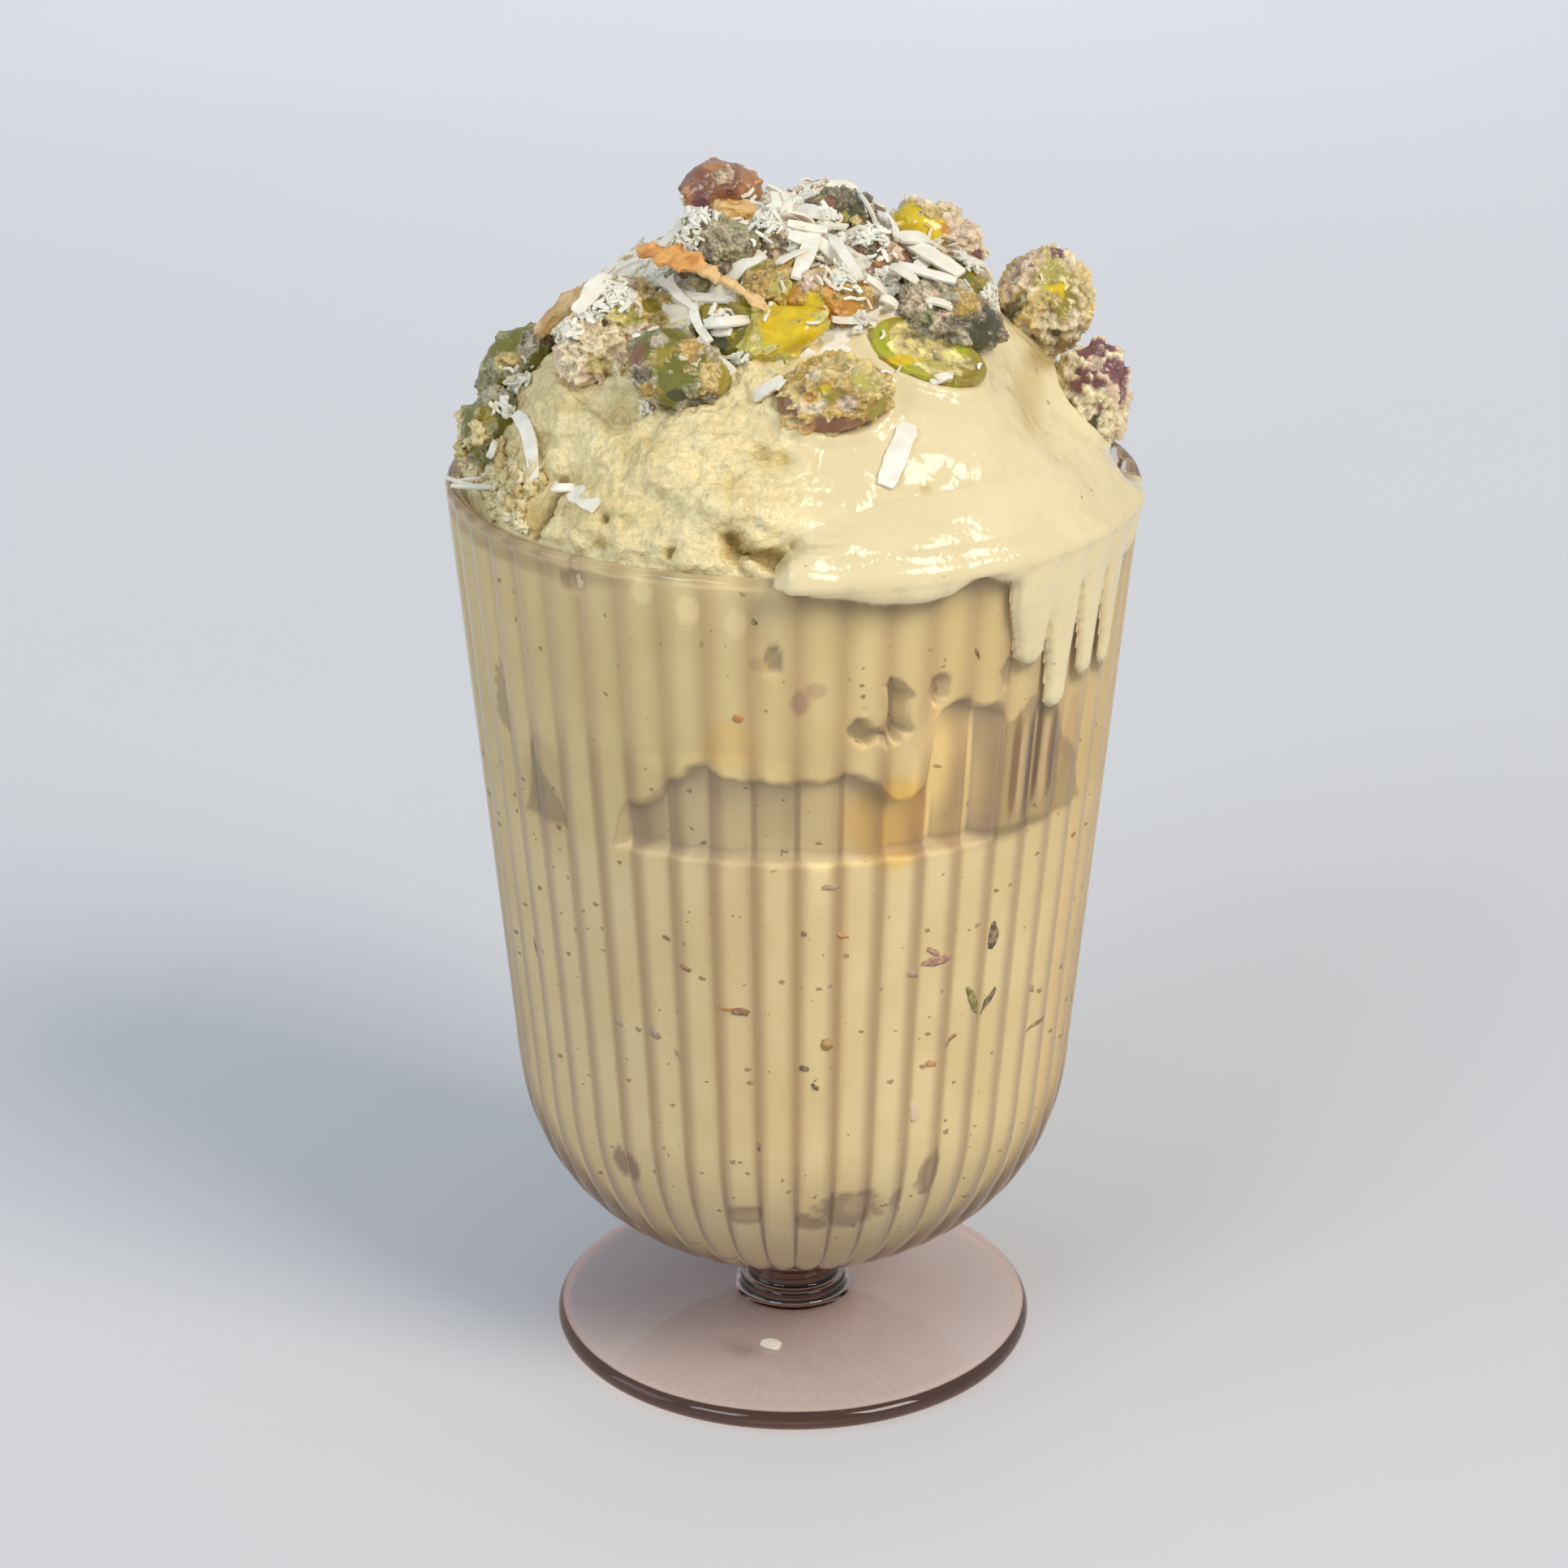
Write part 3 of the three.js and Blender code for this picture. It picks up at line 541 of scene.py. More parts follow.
for share in np.concatenate(
    [np.linspace(0, 0.49, 10)[1:], np.linspace(0.5, 0.85, 62), np.linspace(0.86, 1, 14)]
):
    height = WALL_START_HEIGHT + share * (filling_top(azimuths) - WALL_START_HEIGHT)
    depth, pocket_shade = pocket_shape(azimuths, height)
    rows.append(
        around(
            RIM_INSIDE - inside_slope * (GLASS_HEIGHT - height) - depth + CREAM_IN_WALL, azimuths,
            height
        )
    )
    pocket_shades.append(pocket_shade)
for share in (0.97, 0.7, 0.2):
    rows.append(around(39.0 * share, azimuths, np.minimum(filling_top(azimuths) - 0.5, 112)))
    pocket_shades.append(np.zeros(columns))
filling = surface_piece("ice_cream_in_glass", np.array(rows))
places = place_of(filling)
azimuth = azimuth_of(places)
pocket_shade = np.zeros(len(places))
pocket_shade[: len(rows) * columns] = np.array(pocket_shades).ravel()
# Painted shade on the pockets' floors and in the dents
tint = 1 + pocket_shade[:, None] * (np.array([0.66, 0.635, 0.63]) - 1)
lower_part = smooth_step((SHELF_HEIGHT + 2 - places[:, 2]) / 4)
on_right = smooth_step((azimuth - 8) / 8) * smooth_step((64 - azimuth) / 8)
at_back = smooth_step((np.abs(azimuth) - 80) / 50)
# Painted light: lighter below the level top, and lighter still on the right, where the light falls
tint *= 1 + lower_part[:, None] * np.array([0.06, 0.07, 0.16])
tint *= 1 + (lower_part * on_right)[:, None] * np.array([0.0, 0.05, 0.10])
tint *= 1 + at_back[:, None] * np.array([0.03, -0.025, 0.05])
# Painted light and shade on the ice cream seen through the wall, patch by patch
for place, middle, half_width, half_height, tone in PAINTED_LIGHT_AND_SHADE:
    away = np.hypot((azimuth - place) / half_width, (places[:, 2] - middle) / half_height)
    tint *= 1 + smooth_step((1.25 - away) * 2)[:, None] * (np.array(tone) - 1)


def set_colours(piece, name, colours):
    """Keeps a colour for each vertex, which the material reads by name."""
    colours = np.concatenate([colours, np.ones((len(colours), 1))], 1)
    attribute = piece.data.attributes.new(name, "FLOAT_COLOR", "POINT")
    attribute.data.foreach_set("color", colours.astype(np.float32).ravel())


set_colours(filling, "tint", tint / 2)  # halved, so that it can lighten too


def cream_speckle_group():
    """Colour and relief that all the ice cream shares: mottling, ground nut specks and pores."""
    group = bpy.data.node_groups.new("cream speckle", "ShaderNodeTree")
    inputs = (
        ("Pale", "NodeSocketColor"), ("Deep", "NodeSocketColor"), ("Speck", "NodeSocketColor"),
        ("Specks", "NodeSocketFloat")
    )
    for name, kind in inputs:
        group.interface.new_socket(name, in_out="INPUT", socket_type=kind)
    for name, kind in (("Color", "NodeSocketColor"), ("Height", "NodeSocketFloat")):
        group.interface.new_socket(name, in_out="OUTPUT", socket_type=kind)
    given, result = group.nodes.new("NodeGroupInput"), group.nodes.new("NodeGroupOutput")
    mottled = blend(
        group, remap(group, grain(group, 90.0, 3, 0.4), 0.35, 0.68), given.outputs["Pale"],
        given.outputs["Deep"]
    )
    wobble = add_node(
        group, "TexNoise", vector=own_place(group), scale=3000.0, detail=1.0
    ).outputs["Color"]
    shifted = add_node(group, "VectorMath", wobble, operation="SCALE", scale=0.6 * MM).outputs[0]
    ragged = add_node(group, "VectorMath", own_place(group), shifted, operation="ADD").outputs[0]
    cells = add_node(group, "TexVoronoi", vector=ragged, scale=640.0, randomness=1.0)
    by_chance, by_size, _ = add_node(group, "SeparateColor", cells.outputs["Color"]).outputs
    chosen = combine(group, "GREATER_THAN", given.outputs["Specks"], by_chance)
    reach = combine(group, "ADD", times(group, combine(group, "POWER", by_size, 3.0), 0.20), 0.05)
    speck = times(group, chosen, combine(group, "LESS_THAN", cells.outputs["Distance"], reach))
    speckled = blend(group, times(group, speck, 0.75), mottled, given.outputs["Speck"])
    feed(result, color=speckled, height=combine(group, "SUBTRACT", grain(group, 900.0, 3), speck))
    return group


cream_speckle = cream_speckle_group()


def cream_material(name, **colours):
    """A material with the shared speckle in its own colours. It has no relief or roughness yet."""
    material, tree, shader = start_material(name)
    speckle = tree.nodes.new("ShaderNodeGroup")
    speckle.node_tree = cream_speckle
    feed(speckle, **colours)
    return material, tree, shader, speckle


def stored(tree, name, kind="Color"):
    """A colour or number that the mesh keeps for each vertex."""
    return add_node(tree, "Attribute", attribute_name=name).outputs[kind]


settled, tree, shader, speckle = cream_material(
    "settled ice cream", pale=(0.92, 0.805, 0.405, 1), deep=(0.86, 0.735, 0.34, 1),
    speck=(0.30, 0.16, 0.05, 1)
)
sideways, backwards, upwards = add_node(tree, "SeparateXYZ", own_place(tree)).outputs
feed(speckle, specks=remap(tree, upwards, 86 * MM, 98 * MM, 0.95, 0.35))
# Painted light and shade of the flutes: bands where they gather the light, dark lines at the
# grooves, softer near the rim
turned_back = times(tree, backwards, -1.0)
flute = times(tree, combine(tree, "ARCTAN2", sideways, turned_back), RIB_COUNT / math.tau)
off_groove = combine(
    tree, "PINGPONG", combine(tree, "SUBTRACT", flute, RIB_TURN * RIB_COUNT / 360), 0.5
)
line = remap(tree, off_groove, 0.07, 0.36, 1.0, 0.0)
band = remap(tree, off_groove, 0.04, 0.48, 1.0, 0.0)
thin_line = remap(tree, off_groove, 0.02, 0.30, 1.0, 0.0)
near_top = remap(tree, upwards, 92 * MM, 99 * MM)
near_bottom = remap(tree, upwards, 17 * MM, 44 * MM, 0.85, 0.0)
plain = speckle.outputs["Color"]
shaded = blend(tree, times(tree, band, 0.22), plain, (0.70, 0.54, 0.26, 1))
lined = blend(tree, line, shaded, (0.58, 0.44, 0.20, 1))
low_lined = blend(tree, times(tree, thin_line, near_bottom), lined, (0.34, 0.24, 0.16, 1))
banded = blend(tree, times(tree, band, 0.6), plain, (0.62, 0.46, 0.22, 1))
tinted = blend(tree, 1, blend(tree, near_top, low_lined, banded), stored(tree, "tint"), "MULTIPLY")
feed(shader, base_color=blend(tree, 1, tinted, tinted, "ADD"), roughness=0.55)
relief(tree, shader, speckle.outputs["Height"], 0.06 * MM, 0.5)
filling.data.materials.append(settled)
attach(filling, "root")
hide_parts("ice_cream")

# Chopped nuts in the ice cream
# Bits of pistachio and of its skin that lie against the wall of the glass, pressed flat by it.
BIT_COLOURS = {
    "brown": (0.32, 0.15, 0.05), "orange": (0.66, 0.32, 0.07), "olive": (0.44, 0.30, 0.04),
    "green": (0.24, 0.25, 0.03), "dark": (0.13, 0.11, 0.05), "rose": (0.46, 0.27, 0.22),
    "grey": (0.46, 0.39, 0.28), "pale": (0.92, 0.84, 0.60),
}
BITS = [  # two pixels of the photograph that it lies between, width in pixels, colour
    ((905, 1241), (922, 1245), 10, "brown"), ((890, 1238), (908, 1242), 4, "orange"),
    ((1015, 1277), (1017, 1290), 11, "olive"), ((1032, 1149), (1041, 1151), 9, "orange"),
    ((1139, 1305), (1146, 1307), 9, "orange"), ((1138, 1184), (1164, 1176), 13, "rose"),
    ((1143, 1166), (1152, 1172), 7, "rose"), ((1187, 1212), (1197, 1248), 9, "green"),
    ((1221, 1213), (1206, 1245), 7, "dark"), ((1222, 1134), (1218, 1165), 12, "dark"),
    ((1276, 1245), (1244, 1284), 5, "brown"), ((1174, 1271), (1160, 1287), 5, "brown"),
    ((1115, 1196), (1128, 1199), 8, "grey"), ((989, 1312), (996, 1314), 8, "dark"),
    ((1002, 1332), (1006, 1338), 5, "dark"), ((1013, 1090), (1030, 1090), 8, "grey"),
    ((991, 1146), (994, 1149), 5, "brown"), ((664, 1150), (670, 1178), 4, "brown"),
    ((1258, 1210), (1268, 1216), 10, "grey"), ((808, 1262), (816, 1276), 9, "grey"),
    ((768, 1252), (772, 1260), 7, "grey"), ((845, 1186), (853, 1192), 7, "brown"),
    ((936, 1404), (936, 1414), 6, "brown"), ((1124, 1356), (1126, 1376), 11, "pale"),
    ((1209, 1405), (1212, 1412), 8, "pale"), ((928, 762), (934, 766), 6, "dark"),
    ((1200, 797), (1205, 808), 5, "brown"), ((833, 1290), (838, 1300), 6, "grey"),
    ((820, 1150), (824, 1154), 5, "brown"), ((905, 880), (912, 884), 9, "orange"),
]


def surface_of(*pieces):
    """The skins of some pieces, as one surface to cast rays at."""
    points, faces = [], []
    for piece in pieces:
        start = len(points)
        points += [v.co[:] for v in piece.data.vertices]
        faces += [tuple(corner + start for corner in p.vertices) for p in piece.data.polygons]
    return BVHTree.FromPolygons(points, faces)


def ball(subdivisions):
    """Points and faces of a ball of unit size."""
    bpy.ops.mesh.primitive_ico_sphere_add(subdivisions=subdivisions, radius=1)
    piece = bpy.context.active_object
    points, faces = place_of(piece) * MM, [tuple(p.vertices) for p in piece.data.polygons]
    bpy.ops.object.delete()
    return points, faces


def joined(name, parts):
    """One piece from many shapes, each its points in millimetres and its faces."""
    points, faces, start = [], [], 0
    for part_points, part_faces in parts:
        points.append(part_points)
        faces += [tuple(corner + start for corner in face) for face in part_faces]
        start += len(part_points)
    return new_piece(name, np.concatenate(points), faces)


def knobbly(points, seed, wave, height):
    """Points on a round shape of unit size, pushed in and out at random."""
    return points * np.array(
        [1 + height * noise.noise(Vector(p) * wave + Vector((seed, seed, 0))) for p in points]
    )[:, None]


def sight(u, v):
    """The direction from the camera through a pixel of the photograph."""
    right, down = (u - PICTURE / 2) / PIXELS_FOCAL, (v - PICTURE / 2) / PIXELS_FOCAL
    return (camera.rotation_euler.to_matrix() @ Vector((right, -down, -1))).normalized()


filling_skin = surface_of(filling)
PEBBLE_POINTS, PEBBLE_FACES = ball(3)
parts, tones = [], []
for index, (start, end, wide, colour) in enumerate(BITS):
    ends = []
    for u, v in (start, end):
        place, normal, _, _ = filling_skin.ray_cast(CAMERA_PLACE, sight(u, v))
        ends.append(np.array(place) / MM)
    outward = np.array(normal)
    forward = ends[1] - ends[0]
    forward -= outward * (forward @ outward)
    half_length = np.linalg.norm(forward) / 2 + 0.15
    forward /= np.linalg.norm(forward)
    frame_of_bit = np.array([forward, np.cross(outward, forward), outward])
    shape = knobbly(PEBBLE_POINTS, index * 2.3, 1.7, 0.5) * [half_length, wide * 0.05, 0.22]
    parts.append((shape @ frame_of_bit + (ends[0] + ends[1]) / 2 + outward * 0.02, PEBBLE_FACES))
    tones.append(np.tile(BIT_COLOURS[colour], (len(shape), 1)))
nut_bits = joined("chopped_nut_bits", parts)
set_colours(nut_bits, "tint", np.concatenate(tones))
shade(nut_bits)
chopped, tree, shader = start_material("chopped nut")
flecks = remap(tree, grain(tree, 1100.0, 2), 0.4, 0.62, 0.0, 0.45)
flecked = blend(tree, flecks, stored(tree, "tint"), (0.80, 0.66, 0.36, 1))
feed(shader, base_color=flecked, roughness=0.5)
relief(tree, shader, grain(tree, 1400.0, 2), 0.05 * MM, 0.5)
nut_bits.data.materials.append(chopped)
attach(nut_bits, "root")
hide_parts("ice_cream")

# Heap of ice cream
# The rounded top of the same ice cream: firm and torn by the spoon on the left, melted and glossy
# on the right, where it has closed over the rim.
DOME_CENTRE = 102.4
DOME_REACH = 44.6
LUMPS = [  # azimuth, lean from the vertical, height and spread in degrees
    (0, 0, 3, 24), (-58, 44, 2.2, 13), (-14, 56, 1.4, 10), (-32, 58, 1, 9), (34, 54, 1.6, 15),
    (68, 47, -2, 8), (104, 64, -3.5, 13), (122, 67, -5, 17), (-74, 66, -2.5, 9), (175, 50, 1.2, 18),
    (-130, 48, 1.5, 14),
]


def heading(azimuth, lean):
    """Unit directions from the middle of the heap."""
    a, l = np.radians(azimuth), np.radians(lean)
    return np.stack([np.sin(l) * np.sin(a), -np.sin(l) * np.cos(a), np.cos(l)], -1)


def heap_reach(azimuth, lean):
    """How far the heap's plain surface lies from its middle."""
    towards = heading(azimuth, lean)
    reach = np.full(np.shape(azimuth), DOME_REACH)
    for place, tilt, height, wide in LUMPS:
        apart = np.degrees(np.arccos(np.clip(towards @ heading(place, tilt), -1, 1)))
        reach = reach + height * np.exp(-((apart / wide) ** 2))
    rough = 0.5 * np.maximum(0, np.sin(np.radians((40 - azimuth) * 0.5)))
    return reach + rough * np.sin(azimuth * 0.21) * np.sin(
        lean * 0.33 + azimuth * 0.05
    ) * np.minimum(1, lean / 20)


BEHIND_FILLING = 0.5  # how far the heap's lower edge lies inside the ice cream along the wall


def heap_points(azimuth, lean):
    """Points on the heap, held in by the wall below the rim and free to lie on the rim above it."""
    reach = heap_reach(azimuth, np.minimum(lean, 70))
    l = np.radians(lean)
    inside_at_centre = RIM_INSIDE - BEHIND_FILLING - inside_slope * (GLASS_HEIGHT - DOME_CENTRE)
    to_wall = inside_at_centre / np.maximum(np.sin(l) - inside_slope * np.cos(l), 0.05)
    above = to_wall * np.cos(l) + DOME_CENTRE - (GLASS_HEIGHT - 0.8)
    on_rim = (RIM_INSIDE + CREAM_IN_WALL - (GLASS_HEIGHT - 0.4 - DOME_CENTRE) * 1.1) / np.maximum(
        np.sin(l) - 1.1 * np.cos(l), 0.05
    )
    reach = np.where(
        above < 0, np.minimum(reach, to_wall),
        np.where(np.sin(l) > 1.1 * np.cos(l) + 0.06, np.minimum(reach, on_rim), reach)
    )
    return heading(azimuth, lean) * reach[..., None] + np.array([0, 0, DOME_CENTRE])


columns = 600
azimuths = np.linspace(-180, 180, columns, endpoint=False)
rows = []
for lean in np.concatenate([np.linspace(78, 70, 4), np.linspace(69.4, 1, 158)]):
    rows.append(heap_points(azimuths, np.full(columns, lean)))
under = around(30.0, azimuths, np.full(columns, 109.6))
heap = surface_piece("ice_cream_heap", np.array([under * [0.4, 0.4, 1], under] + rows))
plain_heap = surface_of(heap)


def land(u, v, surface=plain_heap):
    """Where the view through a pixel meets or passes a surface, in millimetres, and its normal."""
    place, normal, _, _ = surface.ray_cast(CAMERA_PLACE, sight(u, v))
    if place is None:
        to_middle = Vector((0, 0, 140 * MM)) - Vector(CAMERA_PLACE)
        passing = Vector(CAMERA_PLACE) + Vector(sight(u, v)) * to_middle.dot(Vector(sight(u, v)))
        place, normal, _, _ = surface.find_nearest(passing)
    return np.array(place) / MM, np.array(normal)


def set_share(piece, name, values):
    """Keeps a number for each vertex, which the material reads by name."""
    attribute = piece.data.attributes.new(name, "FLOAT", "POINT")
    attribute.data.foreach_set("value", np.asarray(values, np.float32))


def pixels_of(places):
    """Where places in millimetres are seen, in pixels of the photograph."""
    seen = (places * MM - np.array(CAMERA_PLACE)) @ np.array(camera.rotation_euler.to_matrix())
    return seen[:, :2] / -seen[:, 2:] * [PIXELS_FOCAL, -PIXELS_FOCAL] + PICTURE / 2


def along_stroke(places, stroke):
    """Each place's distance to a stroke of pixels on the heap, and its side: positive is up."""
    ends = [land(u, v) for u, v in stroke]
    nearest = np.full(len(places), 1e9)
    side = np.zeros(len(places))
    for (start, up), (end, _) in zip(ends, ends[1:]):
        run = end - start
        share = np.clip(((places - start) @ run) / (run @ run), 0, 1)
        off = places - (start + share[:, None] * run)
        far = np.linalg.norm(off, axis=1)
        left = off @ np.cross(up, run / np.linalg.norm(run))
        closer = far < nearest
        nearest = np.where(closer, far, nearest)
        side = np.where(closer, left, side)
    return nearest, side


BUMPS = [  # pixel of the photograph, height in millimetres, spread in millimetres
    (940, 620, 0.9, 4.2), (885, 640, 0.7, 3.6), (985, 655, 0.8, 3.6), (1040, 690, 0.9, 4.0),
    (800, 585, 0.9, 5.0), (700, 480, 1.0, 4.5), (650, 600, 0.9, 3.6), (715, 620, 0.8, 3.2),
    (690, 540, 0.6, 3.0), (850, 690, 0.6, 3.0), (775, 660, 0.4, 3.0), (930, 700, 0.5, 2.2),
    (1150, 660, 0.4, 5.0), (870, 545, 0.5, 5.0), (985, 585, 0.5, 2.2), (937, 555, -0.9, 0.8),
    (968, 566, -0.8, 0.8), (950, 572, -0.5, 1.6), (898, 590, -0.8, 1.5), (795, 538, -0.7, 1.3),
    (746, 640, -1.0, 0.8), (738, 668, -0.9, 0.9), (828, 682, -1.1, 0.8), (760, 512, -0.9, 1.6),
    (865, 580, -0.4, 2.0), (658, 548, -0.9, 1.8), (705, 560, -0.5, 1.6), (1015, 620, -0.5, 1.4),
    (1140, 598, -0.3, 0.8), (1075, 650, -0.4, 2.0),
]
CRACKS = [  # pixels along it, depth, half width
    ([(928, 549), (941, 560), (957, 561), (976, 569)], 0.7, 0.55),
    ([(660, 660), (668, 640), (678, 618), (686, 596)], 2.2, 0.8),
    ([(897, 660), (908, 678), (928, 684), (952, 688), (968, 694)], 2.6, 0.9),
    ([(980, 676), (992, 683), (1016, 678)], 1.8, 0.5),
    ([(905, 690), (915, 705), (925, 712)], 1.4, 0.8),
    ([(630, 560), (640, 590), (628, 640)], 1.4, 0.8),
    ([(700, 590), (712, 640), (735, 680)], 0.6, 0.8),
    ([(1246, 432), (1262, 470), (1285, 520), (1300, 545)], 0.7, 2.4),
]
LEDGES = [  # pixels along it with the raised side up or left, height, how far it takes to fall off
    ([(800, 600), (850, 628), (900, 640), (935, 652)], 0.8, 3.5),
    ([(690, 470), (740, 520), (765, 560), (760, 620)], -0.8, 5.0),
    ([(870, 565), (920, 600), (970, 605), (1005, 590), (1012, 560)], 0.5, 2.5),
    ([(620, 640), (680, 668), (760, 690), (850, 700), (905, 706)], 0.5, 2.5),
    ([(655, 545), (690, 560), (700, 600), (690, 650)], -0.7, 3.0),
]
MENISCI = [  # a nut that the melted ice cream has risen round: middle, long axis, half sizes
    ((4.6, -29.7, 137.5), (0.98, 0, 0.15), (6.9, 5.2, 3.6)),
    ((15.7, -20.8, 139.8), (0.94, 0, -0.33), (7.5, 4.7, 3.4)),
    ((36, -3, 129.8), (0.32, 0.1, 0.95), (6.8, 5.7, 5.0)),
]
places = place_of(heap)
out = places - [0, 0, DOME_CENTRE]
out /= np.linalg.norm(out, axis=1)[:, None]
azimuth = azimuth_of(places)
lean = np.degrees(np.arccos(np.clip(out[:, 2], -1, 1)))
free = smooth_step((places[:, 2] - GLASS_HEIGHT + 0.4) / 1.6)
shift = np.zeros(len(places))
# How far each place lies in a pit or crack, for the painted shade there
pits = np.zeros(len(places))
for u, v, height, wide in BUMPS:
    off = np.linalg.norm(places - land(u, v)[0], axis=1)
    shift += height * np.exp(-((off / wide) ** 2))
    if height < -0.95:
        pits = np.maximum(pits, np.exp(-((off / wide / 1.1) ** 2)))
for stroke, deep, half_width in CRACKS:
    off, _ = along_stroke(places, stroke)
    shift -= deep * np.exp(-((off / half_width) ** 2))
    pits = np.maximum(pits, min(1, deep / 2) * np.exp(-((off / half_width) ** 2)))
for stroke, height, fall in LEDGES:
    off, side = along_stroke(places, stroke)
    shift += height * (side > 0) * smooth_step(side / 0.6) * np.exp(-((off / fall) ** 2))
for middle, along, (half_length, half_width, half_height) in MENISCI:
    long = np.array(along) / np.linalg.norm(along)
    off = places - middle
    by_length = off @ long
    by_width = np.linalg.norm(off - by_length[:, None] * long, axis=1)
    beyond = (np.hypot(by_length / half_length, by_width / half_width) - 1) * half_width
    shift += 0.75 * np.exp(-(((beyond - 0.2) / 0.85) ** 2))
places += out * (shift * free)[:, None]
move_to(heap, places)
set_share(heap, "pit", pits)

# The firm side is everywhere except in front on the right; left of the middle it is broken up
melted = smooth_step((azimuth + 12) / 26) * smooth_step((128 - azimuth) / 50)
melted *= smooth_step((places[:, 1] * -1 + 12) / 12) * 0.85 + 0.15
at_rim = smooth_step((lean - 55) / 6) * smooth_step((azimuth + 95) / 20)
at_rim *= smooth_step((8 - azimuth) / 10) * 0.5
broken = smooth_step((azimuth + 95) / 15) * smooth_step((-46 - azimuth) / 10)
broken *= smooth_step((lean - 46) / 10)
broken = np.maximum(broken, np.maximum(at_rim, smooth_step((np.abs(azimuth) - 130) / 30) * 0.4))
for name, share in (
    ("firm", (1 - melted) * free), ("broken", broken * (1 - melted) * free), ("all", free)
):
    group = heap.vertex_groups.new(name=name)
    for index, value in enumerate(share):
        group.add([index], float(value), "REPLACE")
set_share(heap, "melt", melted)


def roughen(piece, group, pattern, wave, height, depth=2):
    """Displaces a surface by a pattern of a wave length; a negative height makes lumps."""
    cloud = bpy.data.textures.new("cloud", pattern)
    cloud.noise_scale = wave * MM
    if pattern == "CLOUDS":
        cloud.noise_depth = depth
    modifier = piece.modifiers.new("rough", "DISPLACE")
    modifier.texture = cloud
    modifier.texture_coords = "LOCAL"
    modifier.strength = height * MM
    modifier.mid_level = 0.5
    if group:
        modifier.vertex_group = group
    work_on(piece)
    bpy.ops.object.modifier_apply(modifier=modifier.name)


roughen(heap, "firm", "CLOUDS", 6.0, 2.1)
roughen(heap, "broken", "VORONOI", 3.6, -2.0)
roughen(heap, "firm", "VORONOI", 2.2, -0.55)
roughen(heap, "firm", "CLOUDS", 1.3, 0.95)
roughen(heap, "firm", "CLOUDS", 0.5, 0.5, 1)
roughen(heap, "all", "CLOUDS", 7.0, 0.7, 1)
roughen(heap, "all", "CLOUDS", 2.6, 0.30, 1)

STAIN_AND_SHADING_RANGE = 1.2  # a patch is kept as a share of this, so that it can lighten too
# Mostly painted shade in hollows, valleys and under ledges, and painted light on lit lumps, with a
# real brown stain among them
STAINS_AND_SHADING = [  # pixel of the photograph, half width and half height in pixels, how it is tinted there
    (660, 480, 40, 50, (0.92, 0.90, 0.84)), (645, 595, 45, 50, (0.98, 0.96, 0.80)),
    (660, 640, 16, 26, (0.74, 0.66, 0.44)), (770, 510, 26, 30, (0.86, 0.82, 0.70)),
    (740, 620, 60, 50, (0.93, 0.90, 0.78)), (790, 560, 40, 26, (0.90, 0.88, 0.76)),
    (905, 600, 26, 22, (0.90, 0.86, 0.74)), (905, 676, 16, 18, (0.66, 0.55, 0.36)),
    (998, 681, 20, 5, (0.76, 0.66, 0.50)), (950, 565, 30, 16, (0.88, 0.84, 0.70)),
    (960, 650, 50, 30, (1.10, 1.10, 1.12)), (1268, 480, 22, 60, (0.82, 0.78, 0.66)),
    (1290, 440, 30, 20, (0.72, 0.65, 0.50)), (870, 640, 60, 20, (1.05, 1.05, 1.05)),
    (860, 570, 50, 40, (1.05, 1.04, 1.02)), (700, 500, 26, 10, (0.84, 0.80, 0.66)),
    (742, 668, 10, 10, (0.72, 0.64, 0.44)), (826, 682, 14, 8, (0.72, 0.64, 0.44)),
    (800, 640, 40, 14, (0.94, 0.92, 0.84)), (960, 612, 34, 8, (0.92, 0.89, 0.80)),
    (1140, 602, 9, 8, (0.86, 0.76, 0.62)), (1011, 422, 12, 8, (0.80, 0.76, 0.64)),
    (1370, 560, 30, 40, (1.08, 1.08, 1.1)),
]
seen_at = pixels_of(places)
stain_and_shading = np.ones((len(places), 3))
towards_camera = np.array(CAMERA_PLACE) / MM - places
in_front = smooth_step((out * towards_camera).sum(1) / np.linalg.norm(towards_camera, axis=1) * 5)
# Painted shade and light from these patches, only on the side that faces the camera
for u, v, half_width, half_height, tone in STAINS_AND_SHADING:
    away = np.hypot((seen_at[:, 0] - u) / half_width, (seen_at[:, 1] - v) / half_height)
    stain_and_shading *= 1 + (smooth_step(1.3 - away) * in_front)[:, None] * (np.array(tone) - 1)
stain_and_shading *= 1 + smooth_step((np.abs(azimuth) - 90) / 40)[:, None] * np.array([0.08, -0.01, 0.05])
set_colours(heap, "stain_and_shading", stain_and_shading / STAIN_AND_SHADING_RANGE)

fresh, tree, shader, speckle = cream_material(
    "fresh ice cream", pale=(0.84, 0.71, 0.425, 1), deep=(0.79, 0.66, 0.375, 1),
    speck=(0.42, 0.31, 0.13, 1), specks=0.05
)
melt, pit = stored(tree, "melt", "Fac"), stored(tree, "pit", "Fac")
firm = remap(tree, melt, 0.1, 0.8, 1.0, 0.0)
granules = grain(tree, 1500.0, 2)
paler = blend(tree, firm, speckle.outputs["Color"], (0.88, 0.74, 0.40, 1))
icy = remap(tree, grain(tree, 420.0, 3, 0.6), 0.42, 0.64, 0.0, 0.36)
greyer = blend(tree, times(tree, icy, firm), paler, (0.60, 0.48, 0.22, 1))
sandy = remap(tree, granules, 0.34, 0.50, 0.42, 0.0)
sandier = blend(tree, times(tree, sandy, firm), greyer, (0.62, 0.49, 0.24, 1))
